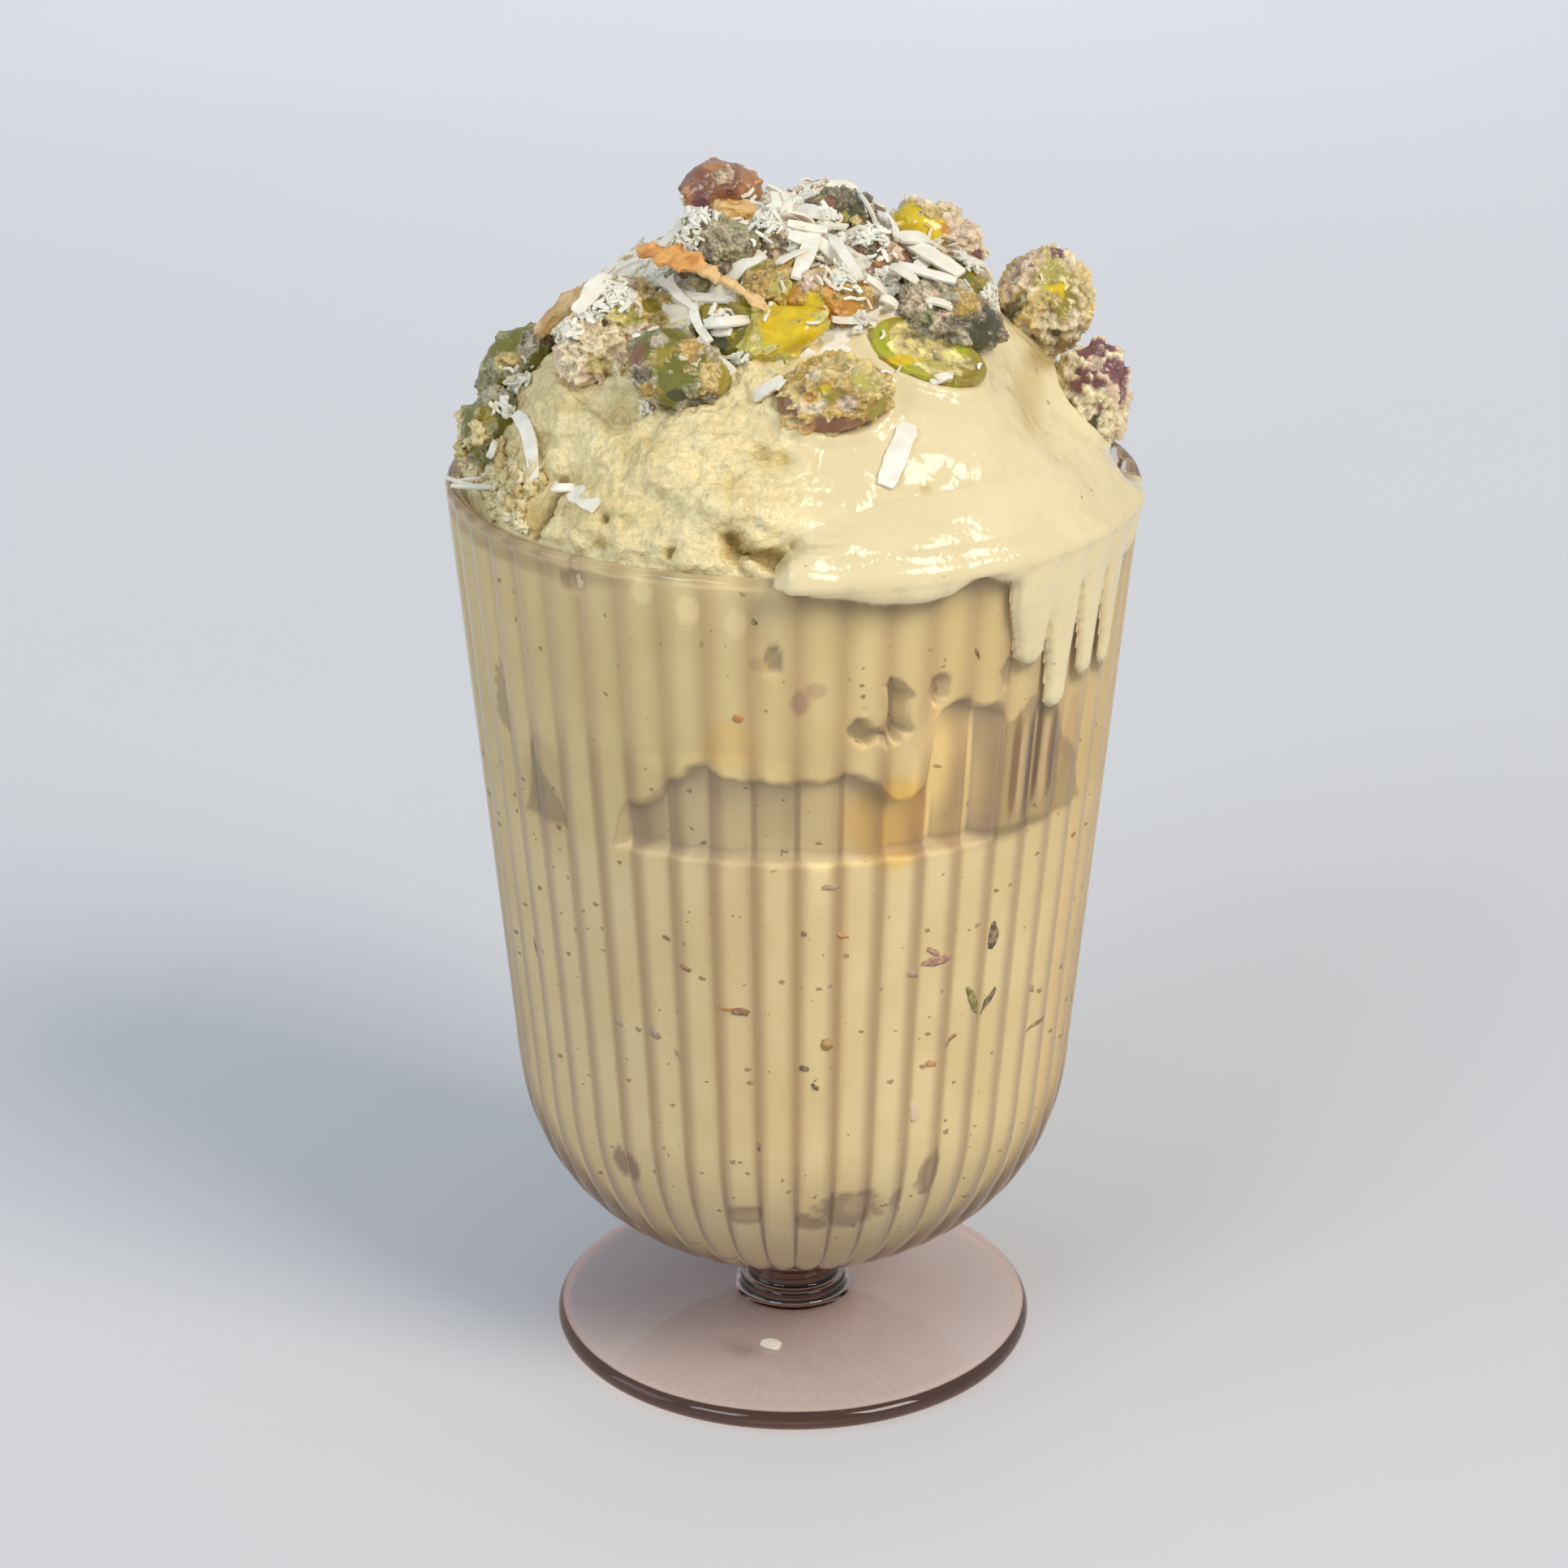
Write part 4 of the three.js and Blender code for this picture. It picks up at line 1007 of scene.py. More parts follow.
# The painted shade and light and the stains, as the mesh keeps them
with_stain_and_shading = blend(tree, 1, sandier, stored(tree, "stain_and_shading"), "MULTIPLY")
lifted = blend(tree, 1, with_stain_and_shading, (STAIN_AND_SHADING_RANGE, STAIN_AND_SHADING_RANGE, STAIN_AND_SHADING_RANGE, 1), "MULTIPLY")
feed(
    shader,
    # Painted shade in the pits and cracks
    base_color=blend(tree, remap(tree, pit, 0.25, 0.9, 0.0, 0.85), lifted, (0.30, 0.19, 0.05, 1)),
    roughness=remap(tree, melt, 0.2, 0.9, 0.34, 0.12), subsurface_weight=0.12,
    subsurface_radius=(1.0, 0.8, 0.5), subsurface_scale=1.5 * MM
)
crumbly = combine(tree, "ADD", speckle.outputs["Height"], granules)
rippled = times(tree, grain(tree, 380.0, 2), remap(tree, melt, 0.3, 0.9, 0.0, 0.9))
uneven = combine(tree, "ADD", rippled, times(tree, crumbly, remap(tree, melt, 0.1, 0.8, 1.0, 0.06)))
relief(tree, shader, uneven, 0.4 * MM, 0.85)
heap.data.materials.append(fresh)
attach(heap, "root")
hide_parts("ice_cream")

# Melted ice cream over the rim
# A film of the melted ice cream that has run over the rim at the front right and down the
# outside, with four drips that follow the flutes.
RUN_THICKNESS = 1.5
RUN_EDGE = [  # azimuth, how far the film has run down below the rim
    (-3.6, -2.5), (-2.6, -0.6), (-1.6, 0.7), (0.5, 1.5), (3, 1.9), (8, 2.4), (13, 3.2), (19, 3.5),
    (24, 3.2), (28, 1.6), (31, 1.3), (34, 2.4), (37, 3.0), (40, 6), (70, 6), (76, 2.6), (82, 0.8),
    (86, -1.5),
]
DRIPS = [  # azimuth, lower end, width at the lower end, height where it meets the film
    (41.5, 105.3, 4.2, 112.0), (49.0, 98.4, 3.2, 110.5), (57.0, 101.0, 3.0, 111.5),
    (64.7, 100.6, 2.8, 112.0),
]
# Degrees from the vertical, and the film's height over the heap there
FILM_LEANS = [54, 56, 58.5, 61, 65]
FILM_HEIGHTS = [-0.6, -0.25, 0.45, 1.2, 2.2]


def run_inside(azimuth, height):
    """How far inside the film's outline a place on the wall lies; negative outside."""
    along = np.radians(azimuth) * RIM_RADIUS
    inside = (height - (GLASS_HEIGHT - np.interp(azimuth, *zip(*RUN_EDGE)))) * 0.85
    for place, end, width, top in DRIPS:
        widen = 1 + 0.75 * smooth_step((height - end - 2) / (top - end))
        half = width / 2 * widen
        beside = along - math.radians(place) * RIM_RADIUS
        drip = np.where(
            height > end + width / 2, half - np.abs(beside),
            width / 2 - np.hypot(beside, height - end - width / 2)
        )
        near = np.clip(0.5 + 0.5 * (drip - inside) / 0.9, 0, 1)
        inside = inside + (drip - inside) * near + 0.9 * near * (1 - near)
    return inside


def drop_on(surface, towards, start=90):
    """Where a ray back to the heap's middle meets a surface, in millimetres, and its normal."""
    place, normal, _, _ = surface.ray_cast(
        Vector(towards * start + [0, 0, DOME_CENTRE]) * MM, Vector(-towards)
    )
    return np.array(place) / MM, np.array(normal)


azimuths = np.arange(-6, 90, 0.3)
edge_share = smooth_step((azimuths + 3.6) / 3.2) * smooth_step((88 - azimuths) / 14)
thin = np.clip((66 - azimuths) / 30, 0.45, 1) * RUN_THICKNESS * (
    1 + 0.35 * np.exp(-(((azimuths - 1) / 4) ** 2))
)
thin *= 1 + 0.10 * np.sin(azimuths * 0.33 + 2)
under_rows, skin_rows, inside_rows = [], [], []
for height in np.arange(97, GLASS_HEIGHT - 1.0, 0.3):
    sunk = RIB_DEPTH * flute_drop(azimuths) * min(1.0, max(0.0, (GLASS_HEIGHT - 0.3 - height) / 2))
    radius = RIM_RADIUS - wall_slope * (GLASS_HEIGHT - height)
    inside = run_inside(azimuths, np.full(len(azimuths), height))
    flatter = thin * (0.62 + 0.38 * smooth_step((height - 108) / 8))
    bulge = flatter * np.sqrt(1 - (1 - np.clip(inside / 1.6, 0, 1)) ** 2)
    outer = np.where(
        inside > 0, radius - sunk * 0.4 + 0.05 + bulge, radius - sunk - 0.1 + inside * 0.4
    )
    under_rows.append(around(radius - sunk - 0.25, azimuths, np.full(len(azimuths), height)))
    skin_rows.append(around(outer, azimuths, np.full(len(azimuths), height)))
    inside_rows.append(inside)
whole_heap = surface_of(heap)
over = np.where(edge_share > 0.01, 1.0, -1.0)
for turn in np.linspace(0, 66, 5):
    a = math.radians(turn)
    grown = (thin * edge_share * (1 + 0.35 * math.sin(a)) - 0.3 * (1 - edge_share))
    middle_radius, middle_height = RIM_RADIUS - RIM_ROUND, GLASS_HEIGHT - RIM_ROUND
    skin_rows.append(
        around(
            middle_radius + (RIM_ROUND + grown) * math.cos(a), azimuths,
            middle_height + (RIM_ROUND + grown) * math.sin(a)
        )
    )
    under_rows.append(
        around(
            middle_radius + 0.6 * math.cos(a), azimuths,
            np.full(len(azimuths), middle_height + 0.6 * math.sin(a))
        )
    )
    inside_rows.append(over)
right_end = smooth_step((88 - azimuths) / 14)
for lean in np.linspace(65.5, 54, 30):
    higher = (65.5 - lean) / 11.5
    edge_share = smooth_step((azimuths + 3.6 - 3 * higher) / (3.2 + 34 * higher)) * right_end
    on_heap = np.array([drop_on(whole_heap, heading(azimuth, lean), 70)[0] for azimuth in azimuths])
    away = on_heap - [0, 0, DOME_CENTRE]
    reach = np.linalg.norm(away, axis=1)
    away /= reach[:, None]
    smoother = np.convolve(np.pad(reach, 8, "edge"), np.ones(17) / 17, "valid")
    over_heap = np.interp(lean, FILM_LEANS, FILM_HEIGHTS)
    lift = np.where(
        over_heap > 0, over_heap * edge_share * thin / RUN_THICKNESS, over_heap
    ) - 0.5 * (1 - edge_share)
    blur = smooth_step((over_heap + 0.3) / 1.2)
    under_rows.append(on_heap - away * 1.2)
    skin_rows.append(
        np.array([0, 0, DOME_CENTRE]) + away * (
            reach + (smoother - reach) * blur * edge_share + lift
        )[:, None]
    )
    inside_rows.append(over)


def skin_between(name, under, top, keep):
    """A closed sheet between two grids of points, where the grid's corners are kept."""
    count, columns = keep.shape
    number = np.arange(count * columns).reshape(count, columns)
    corners = np.stack([number[:-1, :-1], number[:-1, 1:], number[1:, 1:], number[1:, :-1]], 2)
    kept = (keep[:-1, :-1] & keep[:-1, 1:] & keep[1:, 1:] & keep[1:, :-1])
    quads = corners[kept]
    faces = [tuple(q) for q in (quads + count * columns).tolist()] + [
        tuple(q[::-1]) for q in quads.tolist()
    ]
    edges = {}
    for q in quads.tolist():
        for a, b in zip(q, q[1:] + q[:1]):
            edges[(a, b)] = edges.get((b, a), 0) == 0
            if not edges[(a, b)]:
                edges[(b, a)] = False
    for (a, b), open_edge in edges.items():
        if open_edge:
            faces.append((a, b, b + count * columns, a + count * columns))
    points = np.concatenate([np.array(under).reshape(-1, 3), np.array(top).reshape(-1, 3)])
    piece = new_piece(name, points, faces)
    with editing(piece):
        bpy.ops.mesh.delete_loose()
        bpy.ops.mesh.select_all(action="SELECT")
        bpy.ops.mesh.normals_make_consistent(inside=False)
    shade(piece)
    return piece


run = skin_between("melted_run", under_rows, skin_rows, np.array(inside_rows) > -0.5)
set_share(run, "melt", np.ones(len(run.data.vertices)))
set_colours(run, "stain_and_shading", np.full((len(run.data.vertices), 3), 1 / STAIN_AND_SHADING_RANGE))
run.data.materials.append(fresh)
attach(run, "root")
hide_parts("ice_cream")

# Candied pistachios
# Whole and split pistachio kernels, cooked in sugar: green and yellow flesh, wisps of purple-brown
# skin, and a lumpy crust of sugar crystals. They are pushed into the heap and lie on each other.
dice = random.Random(11)
KINDS = {  # colour, and how thick the sugar lies: 0 is bare and smooth, 1 is a lumpy crust
    "yellow": ((0.78, 0.56, 0.012), -0.3), "lemon": ((0.56, 0.49, 0.11), 0.35),
    "orange": ((0.62, 0.29, 0.03), 0.2), "olive": ((0.36, 0.28, 0.03), 0.1),
    "lime": ((0.44, 0.46, 0.02), -0.4), "green": ((0.19, 0.18, 0.02), -0.1),
    "dark": ((0.07, 0.07, 0.02), 0.15), "brown": ((0.28, 0.12, 0.055), 0.05),
    "copper": ((0.46, 0.22, 0.09), 0.12), "purple": ((0.21, 0.075, 0.08), 0.2),
    "cream": ((0.78, 0.64, 0.39), 1.0), "pink": ((0.70, 0.52, 0.35), 0.95),
    "ash": ((0.42, 0.36, 0.23), 0.9), "smoke": ((0.17, 0.13, 0.065), 0.6),
    "gold": ((0.62, 0.46, 0.15), 0.75), "honey": ((0.50, 0.32, 0.06), 0.55),
    "sage": ((0.30, 0.29, 0.13), 0.8),
}
TO_FRONT = (0, -1, 0.25)
# Where it lies, its long axis, its upper side or None for outwards, its size, how lumpy it is, its
# two main kinds of surface, and the patches that the photograph shows on it: pixel, half width and
# half height in pixels, kind
NUTS = [
    (
        (-9, 6, 153.3), (1, 0, 0.1), None, (10, 8.5, 7), 0.1, "brown", "copper",
        [
            (866, 225, 17, 20, "brown"), (893, 214, 12, 14, "pink"), (920, 226, 12, 18, "copper"),
            (880, 203, 20, 6, "copper"), (866, 246, 14, 8, "purple"), (900, 234, 8, 6, "purple"),
        ]
    ),
    (
        (5.6, -1, 151.3), (0.6, 0.8, 0), None, (11, 7.5, 7), 0.1, "dark", "smoke",
        [
            (1016, 248, 11, 8, "brown"), (1056, 255, 12, 14, "dark"), (1036, 270, 11, 9, "olive"),
            (1053, 273, 8, 8, "gold"), (1040, 290, 28, 12, "purple"), (1010, 242, 8, 4, "olive"),
        ]
    ),
    (
        (17.6, -1, 149.3), (0.86, 0.1, -0.5), None, (12, 7, 6.6), 0.1, "cream", "pink",
        [
            (1128, 278, 34, 32, "yellow"), (1152, 294, 20, 18, "yellow"),
            (1164, 284, 6, 8, "orange"), (1148, 262, 14, 8, "gold"), (1178, 300, 16, 20, "pink"),
            (1202, 313, 8, 11, "purple"),
        ]
    ),
    (
        (31.1, 4, 139.8), (0.1, 0, 1), TO_FRONT, (13.2, 10, 9), 0.2, "cream", "gold",
        [
            (1303, 310, 16, 9, "purple"), (1270, 330, 20, 24, "pink"), (1250, 352, 18, 18, "pink"),
            (1296, 345, 20, 26, "lemon"), (1314, 372, 20, 26, "olive"),
            (1300, 360, 12, 12, "yellow"), (1262, 366, 10, 10, "olive"),
            # The smoke patch at pixel (1246, 388) is painted shade on the kernel's lower left
            (1290, 372, 16, 12, "gold"), (1246, 388, 12, 16, "smoke"), (1284, 402, 26, 14, "cream"),
            (1322, 402, 16, 20, "cream"), (1300, 410, 6, 5, "smoke"),
        ]
    ),
    (
        (36, -3, 129.8), (0.32, 0.1, 0.95), TO_FRONT, (13.2, 11, 9.5), 0.16, "cream", "pink",
        [
            (1306, 452, 18, 20, "gold"), (1350, 502, 34, 16, "cream"), (1374, 510, 16, 16, "cream"),
            (1323, 497, 6, 8, "smoke"), (1348, 430, 44, 22, "purple"),
            (1374, 460, 26, 36, "purple"), (1340, 466, 18, 16, "purple"),
            (1348, 448, 12, 9, "pink"), (1322, 530, 26, 18, "green"), (1345, 530, 10, 16, "dark"),
        ]
    ),
    (
        (18.6, -15, 142.8), (0.9, 0.1, -0.4), None, (13.4, 8, 7), 0.1, "smoke", "ash",
        [
            (1135, 370, 20, 14, "pink"), (1150, 388, 16, 16, "sage"), (1168, 392, 12, 10, "pink"),
            (1192, 376, 16, 16, "honey"), (1213, 408, 20, 26, "dark"), (1180, 400, 18, 8, "smoke"),
        ]
    ),
    (
        (19.6, -9, 145.1), (0.9, 0.2, -0.3), None, (9.5, 6.5, 5.5), 0.1, "olive", "green",
        [(1170, 352, 16, 9, "orange"), (1190, 360, 14, 10, "olive"), (1202, 370, 8, 8, "dark")]
    ),
    (
        (15.7, -20.8, 139.8), (0.94, 0, -0.33), None, (14.6, 9, 6), 0.04, "lime", "olive",
        [
            (1086, 408, 20, 20, "lime"), (1112, 443, 24, 7, "yellow"), (1156, 452, 18, 5, "lemon"),
            (1115, 474, 40, 9, "brown"), (1155, 483, 30, 6, "copper"), (1198, 458, 18, 24, "olive"),
        ]
    ),
    (
        (4.6, -29.7, 137.5), (0.98, 0, 0.15), None, (13.4, 10, 6.5), 0.1, "honey", "gold",
        [
            (1045, 455, 30, 8, "gold"), (1022, 484, 20, 12, "olive"), (1020, 478, 10, 7, "yellow"),
            (1066, 472, 18, 14, "lemon"), (985, 470, 20, 14, "honey"), (996, 500, 20, 10, "cream"),
            (1045, 498, 12, 9, "pink"), (964, 504, 16, 18, "brown"), (998, 524, 18, 9, "copper"),
            (1040, 524, 40, 9, "brown"), (1082, 502, 12, 16, "olive"), (1008, 464, 14, 6, "cream"),
            (957, 480, 9, 24, "brown"), (1000, 490, 10, 8, "orange"),
        ]
    ),
    (
        (-1.9, -22, 142.9), (0.93, 0, 0.3), None, (12.5, 7, 5.5), 0.04, "yellow", "lemon",
        [(935, 430, 28, 14, "lemon"), (985, 408, 40, 18, "yellow"), (1030, 386, 26, 10, "orange")]
    ),
    (
        (4, -18, 145.7), (0.95, 0, -0.1), None, (10.5, 7.5, 7), 0.1, "honey", "orange",
        [
            (1000, 344, 14, 14, "pink"), (1040, 358, 18, 12, "honey"),
            (1020, 384, 20, 10, "orange"), (1048, 380, 12, 10, "orange"),
            (1002, 372, 12, 10, "yellow"), (1028, 348, 10, 8, "cream"),
        ]
    ),
    (
        (-2.7, -16.5, 146.3), (0.7, 0.2, 0.7), None, (9, 7.5, 7), 0.1, "honey", "olive",
        [
            (942, 348, 14, 12, "honey"), (965, 352, 14, 14, "lemon"), (968, 340, 12, 6, "gold"),
            (950, 376, 14, 12, "olive"), (978, 380, 10, 8, "orange"),
        ]
    ),
    (
        (-13.3, -25.8, 139.5), (0.93, 0, -0.3), None, (12.6, 9.5, 7.5), 0.1, "green", "ash",
        [
            (785, 440, 14, 14, "brown"), (828, 455, 24, 34, "green"), (812, 440, 18, 12, "olive"),
            (852, 428, 18, 11, "honey"), (872, 466, 20, 22, "gold"), (850, 478, 12, 10, "sage"),
            (800, 480, 12, 10, "honey"), (836, 487, 10, 8, "dark"), (870, 492, 20, 6, "smoke"),
            (892, 468, 6, 18, "olive"), (790, 462, 10, 10, "smoke"),
        ]
    ),
    (
        (-23.2, -17.5, 139), (0.8, 0.1, -0.3), None, (9.5, 7.5, 6.5), 0.2, "cream", "pink",
        [
            (735, 425, 34, 18, "cream"), (738, 450, 20, 14, "gold"), (768, 432, 12, 18, "pink"),
            (705, 425, 12, 14, "cream"),
        ]
    ),
    (
        (-19.8, -13.5, 142.8), (0.95, 0, -0.1), None, (12, 8, 7), 0.14, "pink", "gold",
        [
            (758, 405, 30, 14, "cream"), (772, 388, 32, 14, "lemon"), (802, 376, 14, 12, "olive"),
            (832, 405, 16, 14, "brown"), (728, 390, 14, 14, "cream"), (810, 396, 18, 12, "gold"),
            (838, 385, 8, 14, "copper"),
        ]
    ),
    (
        (-9, -11, 149.6), (0.8, 0.2, -0.4), None, (10, 9, 8.5), 0.16, "smoke", "sage",
        [
            (868, 312, 22, 24, "smoke"), (900, 298, 22, 14, "ash"), (895, 335, 18, 18, "smoke"),
            (868, 330, 10, 12, "dark"), (880, 285, 22, 10, "ash"),
        ]
    ),
    (
        (-2, -8, 150.1), (0.9, 0.3, 0.2), None, (8, 7, 6), 0.1, "pink", "smoke",
        [
            (945, 277, 14, 8, "brown"), (945, 290, 14, 7, "olive"), (962, 312, 14, 14, "pink"),
            (955, 300, 10, 8, "ash"),
        ]
    ),
    (
        (-8, -21.4, 143), (1, 0, 0.2), None, (8.5, 7, 6.5), 0.1, "olive", "green",
        [
            (905, 386, 18, 12, "olive"), (882, 395, 10, 10, "brown"), (915, 422, 22, 14, "green"),
            (890, 418, 10, 10, "dark"),
        ]
    ),
    (
        (10.8, -10, 147.6), (0.6, 0.3, -0.6), None, (9.5, 7, 6.5), 0.1, "brown", "pink",
        [
            (1084, 318, 6, 14, "orange"), (1110, 352, 12, 16, "brown"),
            (1095, 376, 12, 10, "copper"), (1085, 334, 12, 8, "purple"),
            (1070, 305, 14, 12, "smoke"),
        ]
    ),
    (
        (-33.8, -5.1, 134.4), (0.7, 0.1, 0.7), TO_FRONT, (11, 7.5, 7.5), 0.16, "sage", "green",
        [
            (655, 425, 18, 16, "ash"), (625, 446, 16, 14, "gold"), (650, 490, 16, 18, "green"),
            (672, 425, 10, 14, "smoke"),
        ]
    ),
    (
        (-36.2, -9.5, 127.8), (0.3, -0.2, 0.9), TO_FRONT, (10, 7.5, 7), 0.16, "sage", "green",
        [
            (597, 512, 12, 12, "olive"), (610, 488, 16, 14, "ash"), (628, 522, 14, 16, "green"),
            (626, 545, 8, 6, "orange"), (600, 470, 14, 10, "gold"),
        ]
    ),
    ((15.6, 17.5, 139.6), (0.8, -0.5, -0.3), None, (12, 8.5, 7), 0.1, "green", "gold", []),
    ((-18, 16.5, 139.5), (0.5, 0.8, -0.2), None, (12.5, 8.5, 7), 0.1, "yellow", "cream", []),
    ((1, 28, 138), (1, 0.1, 0.1), None, (12.5, 9, 7), 0.16, "cream", "purple", []),
    ((3, 15.5, 147.6), (0.8, 0.4, 0.1), None, (11, 8, 7), 0.1, "brown", "pink", []),
]
SPLIT_NUT = 7  # this one lies open with its flat face up
CRYSTALS = 520  # tried on each kernel, where its crust is

candied, tree, shader = start_material("candied pistachio")
crust, grains = stored(tree, "crust", "Fac"), grain(tree, 2400.0, 2)
veins = remap(tree, grain(tree, 500.0, 3, 1.0), 0.40, 0.60, 0.0, 0.35)
veined = blend(tree, veins, stored(tree, "tint"), (0.62, 0.56, 0.50, 1), "MULTIPLY")
frosty = times(tree, remap(tree, crust, 0.1, 0.7), remap(tree, grains, 0.46, 0.66, 0.0, 0.3))
feed(
    shader, base_color=blend(tree, frosty, veined, (0.88, 0.78, 0.60, 1)), coat_weight=0.35,
    coat_roughness=0.12, roughness=remap(tree, crust, 0.0, 0.7, 0.15, 0.42), subsurface_weight=0.2,
    subsurface_scale=1.0 * MM
)
relief(tree, shader, times(tree, remap(tree, crust, 0.0, 0.6, 0.1, 1.0), grains), 0.30 * MM, 0.7)

CUBE_CORNERS = np.array([(x, y, z) for x in (-1, 1) for y in (-1, 1) for z in (-1, 1)], float)
CUBE_FACES = [(0, 1, 3, 2), (4, 6, 7, 5), (0, 4, 5, 1), (2, 3, 7, 6), (0, 2, 6, 4), (1, 5, 7, 3)]


def spun(dice):
    """A random turn as a matrix."""
    turn = Matrix.Rotation(dice.uniform(0, 6.28), 3, "X") @ Matrix.Rotation(
        dice.uniform(0, 6.28), 3, "Y"
    )
    return np.array(turn @ Matrix.Rotation(dice.uniform(0, 6.28), 3, "Z"))


def chip_of(dice, smallest, largest):
    """Corners of one broken crystal or crumb, as a box knocked out of shape."""
    box = CUBE_CORNERS * [dice.uniform(smallest, largest) for _ in range(3)]
    return (box * np.array([[dice.uniform(0.6, 1.1)] * 3 for _ in range(8)])) @ spun(dice)


def clouds(points, wave, seed):
    """Smooth noise from -1 to 1 at each point, with a wave length in millimetres."""
    return np.array([noise.noise(Vector(p) / wave + seed) for p in points])


BALL_POINTS, BALL_FACES = ball(6)
nuts = []
for index, (at, along, up, size, lumpy, kind, other_kind, patches) in enumerate(NUTS):
    length, width, thickness = size
    centre = Vector(at)
    long = Vector(along).normalized()
    face = Vector(up) if up else centre - Vector((0, 0, DOME_CENTRE))
    face = (face - long * face.dot(long)).normalized()
    basis = np.array([long.cross(face), long, face])
    x, y, z = BALL_POINTS.T
    lumps = np.sin(4.1 * x + 1.7 * index) + np.sin(3.7 * y + 2.3 * index + 2 * z)
    swell = 1 + lumpy * lumps / 2
    taper = 1 - 0.14 * y
    shape = np.stack(
        [x * taper * swell * width / 2, y * length / 2, z * taper * swell * thickness / 2], 1
    )
    seed = Vector((index * 3.1, index * 1.7, 0))
    wander, coarse, fine, grainy = (clouds(shape, wave, seed) for wave in (3.2, 1.6, 0.8, 0.42))

    other = smooth_step(0.5 + 3 * wander)
    tint = np.outer(1 - other, KINDS[kind][0]) + np.outer(other, KINDS[other_kind][0])
    crust = (1 - other) * KINDS[kind][1] + other * KINDS[other_kind][1]
    if index == SPLIT_NUT:
        flat = thickness * 0.12
        on_face = shape[:, 2] > flat
        rim = np.hypot(x, y)
        shape[:, 2] = np.where(
            on_face, flat + 0.45 * smooth_step((rim - 0.72) * 5) - 0.45, shape[:, 2]
        )
        sugared = on_face * smooth_step((0.80 - rim + 0.15 * wander) * 8)
        tint += sugared[:, None] * (np.array([0.62, 0.50, 0.17]) * (1 + coarse[:, None]) - tint)
        crust += sugared * (0.8 - crust)
    out = shape / np.linalg.norm(shape, axis=1)[:, None]
    placed = shape @ basis + at
    seen_at = pixels_of(placed)
    towards_camera = np.array(CAMERA_PLACE) / MM - placed
    facing = ((out / [width, length, thickness]) @ basis * towards_camera).sum(1) > 0
    ragged = 0.9 * coarse + 0.5 * fine
    for u, v, half_width, half_height, patch in patches:
        away = np.hypot(
            (seen_at[:, 0] - u) / half_width, (seen_at[:, 1] - v) / half_height
        ) + ragged
        share = smooth_step((1.1 - away) * 3) * facing
        tint += share[:, None] * (np.array(KINDS[patch][0]) - tint)
        crust += share * (KINDS[patch][1] - crust)
    crust += 0.5 * coarse
    crusted = smooth_step((crust - 0.05) / 0.6)
    grown = crusted * (
        0.9 * coarse + 0.55 * fine + 0.40 * grainy + 0.2
    ) + 0.25 * wander + 0.06 * fine
    if index == SPLIT_NUT:
        grown *= 0.5
    # Painted light and shade on the crust: lighter on its lumps, darker in the hollows between them
    tint = tint * (1 + crusted * (0.35 * coarse + 0.5 * fine + 0.4 * grainy))[:, None]
    shape = shape + out * grown[:, None]
    parts = [(shape @ basis + at, BALL_FACES)]
    tints, crusts = [tint], [crust]
    for _ in range(CRYSTALS):
        chosen = dice.randrange(len(shape))
        if crust[chosen] < dice.uniform(0.1, 1.0):
            continue
        box = chip_of(dice, 0.08, 0.24)
        parts.append(((box + shape[chosen] - out[chosen] * 0.04) @ basis + at, CUBE_FACES))
        tints.append(np.tile(tint[chosen] * 0.8 + np.array([0.20, 0.17, 0.12]), (8, 1)))
        crusts.append(np.full(8, 0.4))
    nut = joined(f"candied_pistachio_{index + 1:02d}", parts)
    set_colours(nut, "tint", np.clip(np.concatenate(tints), 0.005, 0.98))
    set_share(nut, "crust", np.concatenate(crusts))
    shade(nut, 78)
    nut.data.materials.append(candied)
    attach(nut, "root")
    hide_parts(f"pistachio_{index + 1:02d}")
    nuts.append(nut)

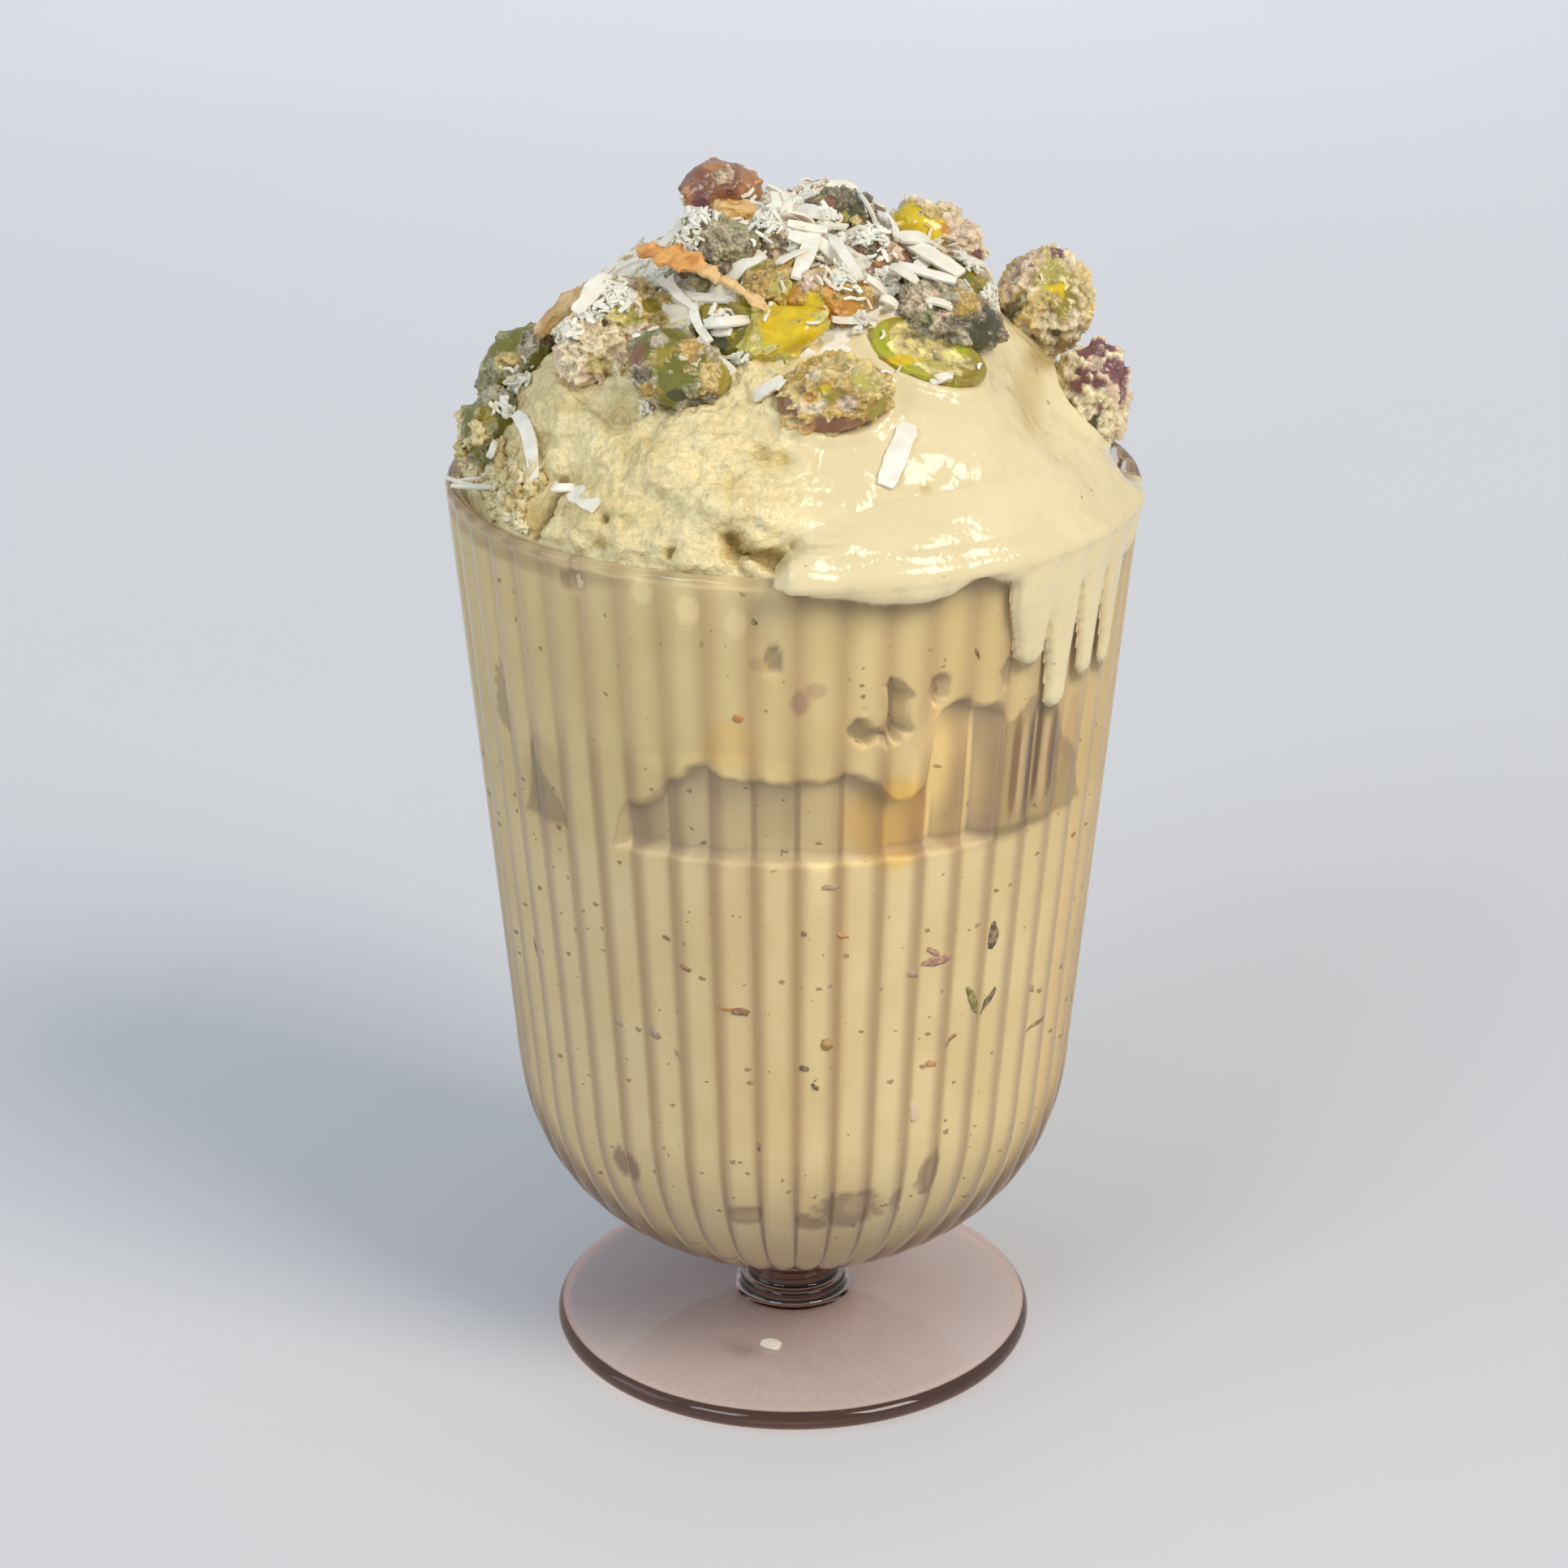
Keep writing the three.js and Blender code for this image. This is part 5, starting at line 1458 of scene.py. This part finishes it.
# Coconut
# Grated and shredded white coconut, strewn over the crown: a bed of gratings between the
# pistachios, ribbons cut from the flesh, and fluffy heaps of the finest gratings.
BED_EDGE = 33.0  # degrees of lean that the bed reaches
BED_DEPTH = 2.3
SHREDS = [  # two pixels of the photograph that it lies between, width, bow, curl to one side
    ((898, 352), (945, 315), 2.3, 0.5, 0.0), ((975, 345), (1008, 282), 2.2, 0.5, 0.3),
    ((1000, 300), (1045, 335), 1.8, 0.5, 0.4), ((1040, 325), (1092, 370), 2.6, 0.4, 0.2),
    ((1015, 305), (1066, 335), 2.0, 0.4, -0.3), ((1108, 302), (1182, 342), 2.4, 0.7, 0.8),
    ((1100, 322), (1172, 352), 1.4, 0.6, 0.8), ((1122, 345), (1152, 310), 1.8, 0.4, 0.0),
    ((1192, 325), (1226, 372), 1.6, 0.4, 0.4), ((842, 362), (897, 376), 1.4, 0.9, 1.6),
    ((872, 402), (928, 398), 1.5, 0.9, 1.2), ((866, 415), (908, 464), 1.8, 0.4, 0.4),
    ((832, 345), (862, 385), 1.2, 0.6, 0.9), ((862, 380), (878, 420), 1.3, 0.5, 0.4),
    ((845, 262), (882, 268), 2.2, 0.3, 0.0), ((982, 320), (1040, 300), 1.2, 0.4, 0.2),
    ((1060, 345), (1088, 374), 1.4, 0.3, 0.0), ((755, 345), (722, 374), 1.8, 0.3, 0.4),
    ((1030, 388), (1075, 380), 1.0, 0.3, 0.4), ((1095, 322), (1130, 352), 1.2, 0.4, 0.0),
    ((642, 512), (664, 594), 2.0, 0.7, -1.6), ((1120, 524), (1090, 600), 2.9, 0.15, 0.0),
    ((930, 490), (965, 470), 1.8, 0.2, 0.2), ((683, 598), (712, 604), 1.3, 0.6, 1.0),
    ((704, 606), (735, 624), 2.6, 0.2, 0.0), ((742, 328), (800, 322), 1.4, 0.4, 0.0),
    ((1140, 372), (1172, 382), 1.2, 0.2, 0.0), ((1148, 470), (1172, 466), 1.2, 0.2, 0.0),
    ((600, 560), (616, 548), 1.0, 0.3, 0.3), ((968, 292), (1010, 300), 1.8, 0.4, 0.3),
    ((986, 264), (1022, 266), 2.0, 0.3, 0.0), ((1022, 292), (1058, 352), 1.6, 0.5, 0.4),
    ((964, 330), (1012, 316), 1.4, 0.4, 0.5), ((1050, 310), (1098, 344), 1.5, 0.5, -0.4),
    ((1088, 330), (1140, 338), 1.4, 0.4, 0.5), ((905, 340), (934, 322), 1.6, 0.4, 0.0),
    ((812, 350), (850, 372), 1.3, 0.5, 0.7), ((852, 395), (900, 412), 1.4, 0.6, 0.8),
    ((1076, 366), (1102, 384), 1.3, 0.3, 0.0), ((1100, 296), (1150, 306), 2.2, 0.6, 0.5),
    ((708, 392), (740, 356), 2.0, 0.4, 0.3),
]
FLUFF = [  # pixel in the middle of a heap of fine gratings, its width in millimetres, how many
    (862, 268, 3.2, 70), (760, 362, 3.6, 80), (728, 385, 2.6, 40), (990, 300, 3.0, 60),
    (1075, 292, 3.4, 60), (1040, 345, 3.2, 50), (1145, 318, 3.6, 60), (1020, 322, 3.4, 60),
    (1080, 352, 2.6, 40), (845, 300, 2.4, 40), (1215, 365, 2.2, 40), (812, 350, 3.0, 50),
    (950, 275, 3.2, 50), (1190, 325, 2.4, 40), (640, 470, 2.4, 40), (1065, 395, 2.4, 34),
    (920, 262, 2.6, 40), (1095, 350, 2.4, 34), (700, 410, 2.0, 24), (620, 500, 1.8, 20),
    (905, 440, 1.6, 16), (800, 505, 1.8, 16), (1020, 275, 2.4, 34), (885, 395, 2.0, 24),
]
LOOSE_SHREDS = 70  # strewn over all of it, and as many again on the back
# How many gratings, between which azimuths, middle and spread of their leans, steepest, size
STREWN = [(260, (-180, 180), 0, 19, 40, 0.9), (420, (95, 265), 18, 12, 42, 1.5)]
CROWN_TOP = 153.0  # nothing loose lies higher than this

bed_columns = 96
azimuths = np.linspace(-180, 180, bed_columns, endpoint=False)
rows = []
for lean in np.concatenate([np.linspace(4, BED_EDGE * 0.92, 5), np.linspace(BED_EDGE, 1, 26)]):
    low_side = len(rows) < 5
    share = 1 - (lean / BED_EDGE) ** 2
    reach = heap_reach(azimuths, np.full(bed_columns, lean))
    reach = reach + (-1.5 if low_side else BED_DEPTH * share - 0.1)
    rows.append(
        heading(
            azimuths, np.full(bed_columns, lean)
        ) * reach[:, None] + np.array([0, 0, DOME_CENTRE])
    )
bed = surface_piece("coconut_bed", np.array(rows))
with editing(bed):
    bpy.ops.mesh.subdivide(number_cuts=2)
roughen(bed, None, "CLOUDS", 3.0, 2.0)
roughen(bed, None, "VORONOI", 1.3, -1.3)
roughen(bed, None, "CLOUDS", 0.6, 0.6, 1)


def ribbon(start, end, widths, thickness, bow, up, curl=0.0):
    """Points and faces of a flat strip between two places, bowed outwards and curled sideways."""
    start, end, up = np.array(start), np.array(end), np.array(up)
    span = np.linalg.norm(end - start)
    forward = (end - start) / span
    up = up - forward * (up @ forward)
    up = up / np.linalg.norm(up)
    across = np.cross(forward, up)
    points = []
    for share, width in zip(np.linspace(-1, 1, len(widths)), widths):
        middle = (start + end) / 2 + forward * share * span / 2
        middle = middle + (up * bow + across * curl) * (1 - share * share)
        for side, lift in ((-1, -1), (1, -1), (1, 1), (-1, 1)):
            points.append(middle + across * side * width / 2 + up * lift * thickness / 2)
    faces = [(0, 1, 2, 3), tuple(len(points) - 4 + k for k in (3, 2, 1, 0))]
    for step in range(len(widths) - 1):
        for corner in range(4):
            a, b = step * 4 + corner, step * 4 + (corner + 1) % 4
            faces.append((a, a + 4, b + 4, b))
    return np.array(points), faces


def cut_widths(dice, width, steps):
    """A ribbon's width along its length, uneven and narrower at its ends."""
    shares = np.linspace(-1, 1, steps)
    return [width * (1 - 0.25 * abs(share) ** 6) * dice.uniform(0.88, 1.1) for share in shares]


def any_tangent(up):
    """A direction along a surface, chosen at random."""
    tangent = np.cross(up, [dice.uniform(-1, 1), dice.uniform(-1, 1), dice.uniform(-1, 1)])
    return tangent / np.linalg.norm(tangent)


resting = surface_of(heap, bed, run, *nuts)
parts = []
for start, end, width, bow, curl in SHREDS:
    (first, up), (last, last_up) = land(*start, resting), land(*end, resting)
    facing = up + last_up + np.array([0, -0.6, 0.8])
    lift = 0.3 if bow < 0.25 else 0.8
    parts.append(
        ribbon(
            first + up * lift, last + last_up * lift, cut_widths(dice, width * 0.88, 9), 0.4,
            bow * 1.6, facing, curl
        )
    )
for index in range(LOOSE_SHREDS * 2):
    behind = index >= LOOSE_SHREDS
    turn = dice.uniform(95, 265) if behind else dice.uniform(-180, 180)
    lean = min(abs(dice.gauss(14 if behind else 0, 16)), 40)
    place, up = drop_on(resting, heading(turn, min(lean, 17) if abs(turn) < 75 else lean))
    tangent = any_tangent(up)
    place = place + up * dice.uniform(0.1, 0.5)
    if place[2] > CROWN_TOP:
        continue
    half = dice.uniform(1.2, 3.2)
    tilt = up * dice.uniform(-0.1, 0.25)
    widths = cut_widths(dice, dice.uniform(0.6, 1.6), 5)
    bow, curl = dice.uniform(0, 0.5), dice.uniform(-0.8, 0.8)
    parts.append(
        ribbon(place - tangent * half, place + (tangent + tilt) * half, widths, 0.35, bow, up, curl)
    )
shreds = joined("coconut_ribbons", parts)
shade(shreds, 40)


def strew(place, up, size):
    """Lays one fine grating on a place in millimetres, nearly flat, bent in its middle."""
    tangent = any_tangent(up) * dice.uniform(0.3, 1.0) * size
    place = place + up * 0.12
    wide = dice.uniform(0.25, 0.6) * size
    tilt = up * dice.uniform(-0.1, 0.45) * size
    widths = [wide * 0.7, wide, wide * 0.8]
    bow, curl = dice.uniform(-0.1, 0.25), dice.uniform(-0.3, 0.3)
    parts.append(ribbon(place - tangent, place + tangent + tilt, widths, 0.2, bow, up, curl))


parts = []
for u, v, wide, count in FLUFF:
    middle, up = land(u, v, resting)
    up = up + np.array([0, -0.4, 0.6])
    up /= np.linalg.norm(up)
    for _ in range(count):
        aside = np.array([dice.gauss(0, wide / 3.2) for _ in range(3)])
        aside -= up * (aside @ up)
        place, normal, _, _ = resting.ray_cast(Vector(middle + aside + up * 4) * MM, Vector(-up))
        if place is not None and np.linalg.norm(np.array(place) / MM - middle) < wide * 1.6:
            strew(
                np.array(place) / MM + np.array(normal) * dice.uniform(0, 0.6), np.array(normal),
                1.1
            )
for count, sides, lean, spread, steepest, size in STREWN:
    for _ in range(count):
        place, up = drop_on(
            resting, heading(dice.uniform(*sides), min(abs(dice.gauss(lean, spread)), steepest))
        )
        if place[2] < CROWN_TOP:
            strew(place, up, size)
gratings = joined("coconut_gratings", parts)

white_coconut, tree, shader = start_material("white coconut")
mottle = remap(tree, grain(tree, 450.0, 3), 0.3, 0.7)
feed(
    shader, base_color=blend(tree, mottle, (0.95, 0.90, 0.78, 1), (0.84, 0.77, 0.62, 1)),
    roughness=0.55, specular_ior_level=0.35, subsurface_weight=0.2, subsurface_scale=1.0 * MM
)
relief(tree, shader, grain(tree, 1800.0, 2), 0.12 * MM, 0.6)
for piece in (bed, shreds, gratings):
    piece.data.materials.append(white_coconut)
    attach(piece, "root")
    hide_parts("coconut")

# Toasted chips
# Three slivers of toasted coconut, orange-brown and beige, dry and curled by the heat.
CHIPS = [  # ends, widths along it, thickness, bow, colour, darker colour
    (
        (-18.5, -12.5, 150.6), (-3.2, -25.5, 146.8),
        (1.0, 2.9, 2.0, 4.4, 3.0, 4.2, 1.7, 2.0, 1.0, 1.4, 1.0, 1.5, 0.8), 0.8, 1.6,
        (0.80, 0.40, 0.11, 1), (0.60, 0.24, 0.05, 1)
    ),
    (
        (-31, -7, 138.8), (-24.1, -9, 144.8), (2.2, 3.3, 3.4, 3.4, 3.2, 2.8, 2.0), 1.5, 0.4,
        (0.76, 0.55, 0.27, 1), (0.62, 0.38, 0.14, 1)
    ),
    (
        (-9.6, -0.4, 152.7), (-4.6, -1.4, 151.8), (2.0, 3.8, 4.0, 3.4, 2.6), 1.5, 0.3,
        (0.80, 0.52, 0.20, 1), (0.64, 0.35, 0.10, 1)
    ),
]
for index, (start, end, widths, thickness, bow, light_colour, dark_colour) in enumerate(CHIPS):
    middle = (np.array(start) + np.array(end)) / 2
    chip = joined(
        f"toasted_sliver_{index + 1}",
        [ribbon(start, end, widths, thickness, bow, middle - [0, 0, DOME_CENTRE])]
    )
    with editing(chip):
        bpy.ops.mesh.normals_make_consistent(inside=False)
        bpy.ops.mesh.bevel(offset=0.3 * MM, segments=2)
        bpy.ops.mesh.subdivide(number_cuts=4)
    roughen(chip, None, "CLOUDS", 2.0, 1.3)
    roughen(chip, None, "CLOUDS", 0.8, 0.5)
    shade(chip)
    axis = np.array(end) - start
    share = (place_of(chip) - start) @ axis / (axis @ axis)
    set_share(chip, "pale", smooth_step((share - 0.45) * 5) * (index == 0))
    toasted, tree, shader = start_material(f"toasted coconut {index + 1}")
    browned = remap(tree, grain(tree, 330.0, 4, 0.8), 0.42, 0.62)
    toast = blend(tree, browned, light_colour, dark_colour)
    paler = blend(tree, times(tree, stored(tree, "pale", "Fac"), 0.8), toast, (0.85, 0.60, 0.28, 1))
    feed(
        shader, base_color=paler, roughness=0.38, subsurface_weight=0.15, subsurface_scale=1.0 * MM
    )
    relief(tree, shader, grain(tree, 1600.0, 3), 0.15 * MM, 0.7)
    chip.data.materials.append(toasted)
    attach(chip, "root")
    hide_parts(f"toasted_chip_{index + 1}")

# Crumbs and fibres
# Broken bits of ice cream and nut in the corner between heap and rim at the far left, two coconut
# fibres across the rim there, and one flake of coconut that has dropped on the foot.
CRUMBS = 150
CRUMB_COLOURS = [(0.80, 0.68, 0.38), (0.74, 0.61, 0.30), (0.66, 0.48, 0.18), (0.84, 0.75, 0.47)]
FIBRES = [  # two pixels of the photograph, height of each end, width
    ((543, 586), (612, 606), 121.5, 120.3, 0.5), ((556, 598), (618, 600), 120.6, 121.0, 0.7),
    ((566, 592), (600, 588), 121.0, 121.8, 0.35),
]
FALLEN_FLAKE = ((938, 1654), (961, 1659))  # two pixels that it lies between


def on_level(u, v, height):
    """Where the view through a pixel meets a level plane, in millimetres."""
    towards = np.array(sight(u, v))
    start = np.array(CAMERA_PLACE) / MM
    return start + towards * (height - start[2]) / towards[2]


parts, tones = [], []
for index in range(CRUMBS):
    place, up = drop_on(resting, heading(dice.uniform(-96, -50), dice.uniform(57, 66.5)))
    if place[2] < GLASS_HEIGHT - 0.5:
        continue
    size = dice.uniform(0.35, 1.2)
    shape = knobbly(knobbly(PEBBLE_POINTS, index * 1.9, 1.8, 1.0), index * 0.7, 4.0, 0.6)
    shape = shape * [size, size * dice.uniform(0.6, 0.9), size * dice.uniform(0.6, 0.9)]
    parts.append((shape @ spun(dice) + place + up * size * 0.2, PEBBLE_FACES))
    tones.append(np.tile(dice.choice(CRUMB_COLOURS), (len(shape), 1)))
crumbs = joined("crumbs_at_rim", parts)
set_colours(crumbs, "tint", np.concatenate(tones))
shade(crumbs)
crumbs.data.materials.append(chopped)
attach(crumbs, "root")
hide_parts("ice_cream")

parts = []
for start, end, height, other_height, width in FIBRES:
    first, last = on_level(*start, height), on_level(*end, other_height)
    parts.append(ribbon(first, last, cut_widths(dice, width, 9), 0.3, 0.5, [0, -0.5, 1], 0.6))
start, end = FALLEN_FLAKE
first, last = on_level(*start, FOOT_CENTRE - 0.35), on_level(*end, FOOT_CENTRE - 0.45)
parts.append(ribbon(first, last, [0.9, 1.7, 2.0, 1.9, 1.3], 0.4, 0.15, [0, 0, 1]))
stray = joined("stray_coconut", parts)
shade(stray, 40)
stray.data.materials.append(white_coconut)
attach(stray, "root")
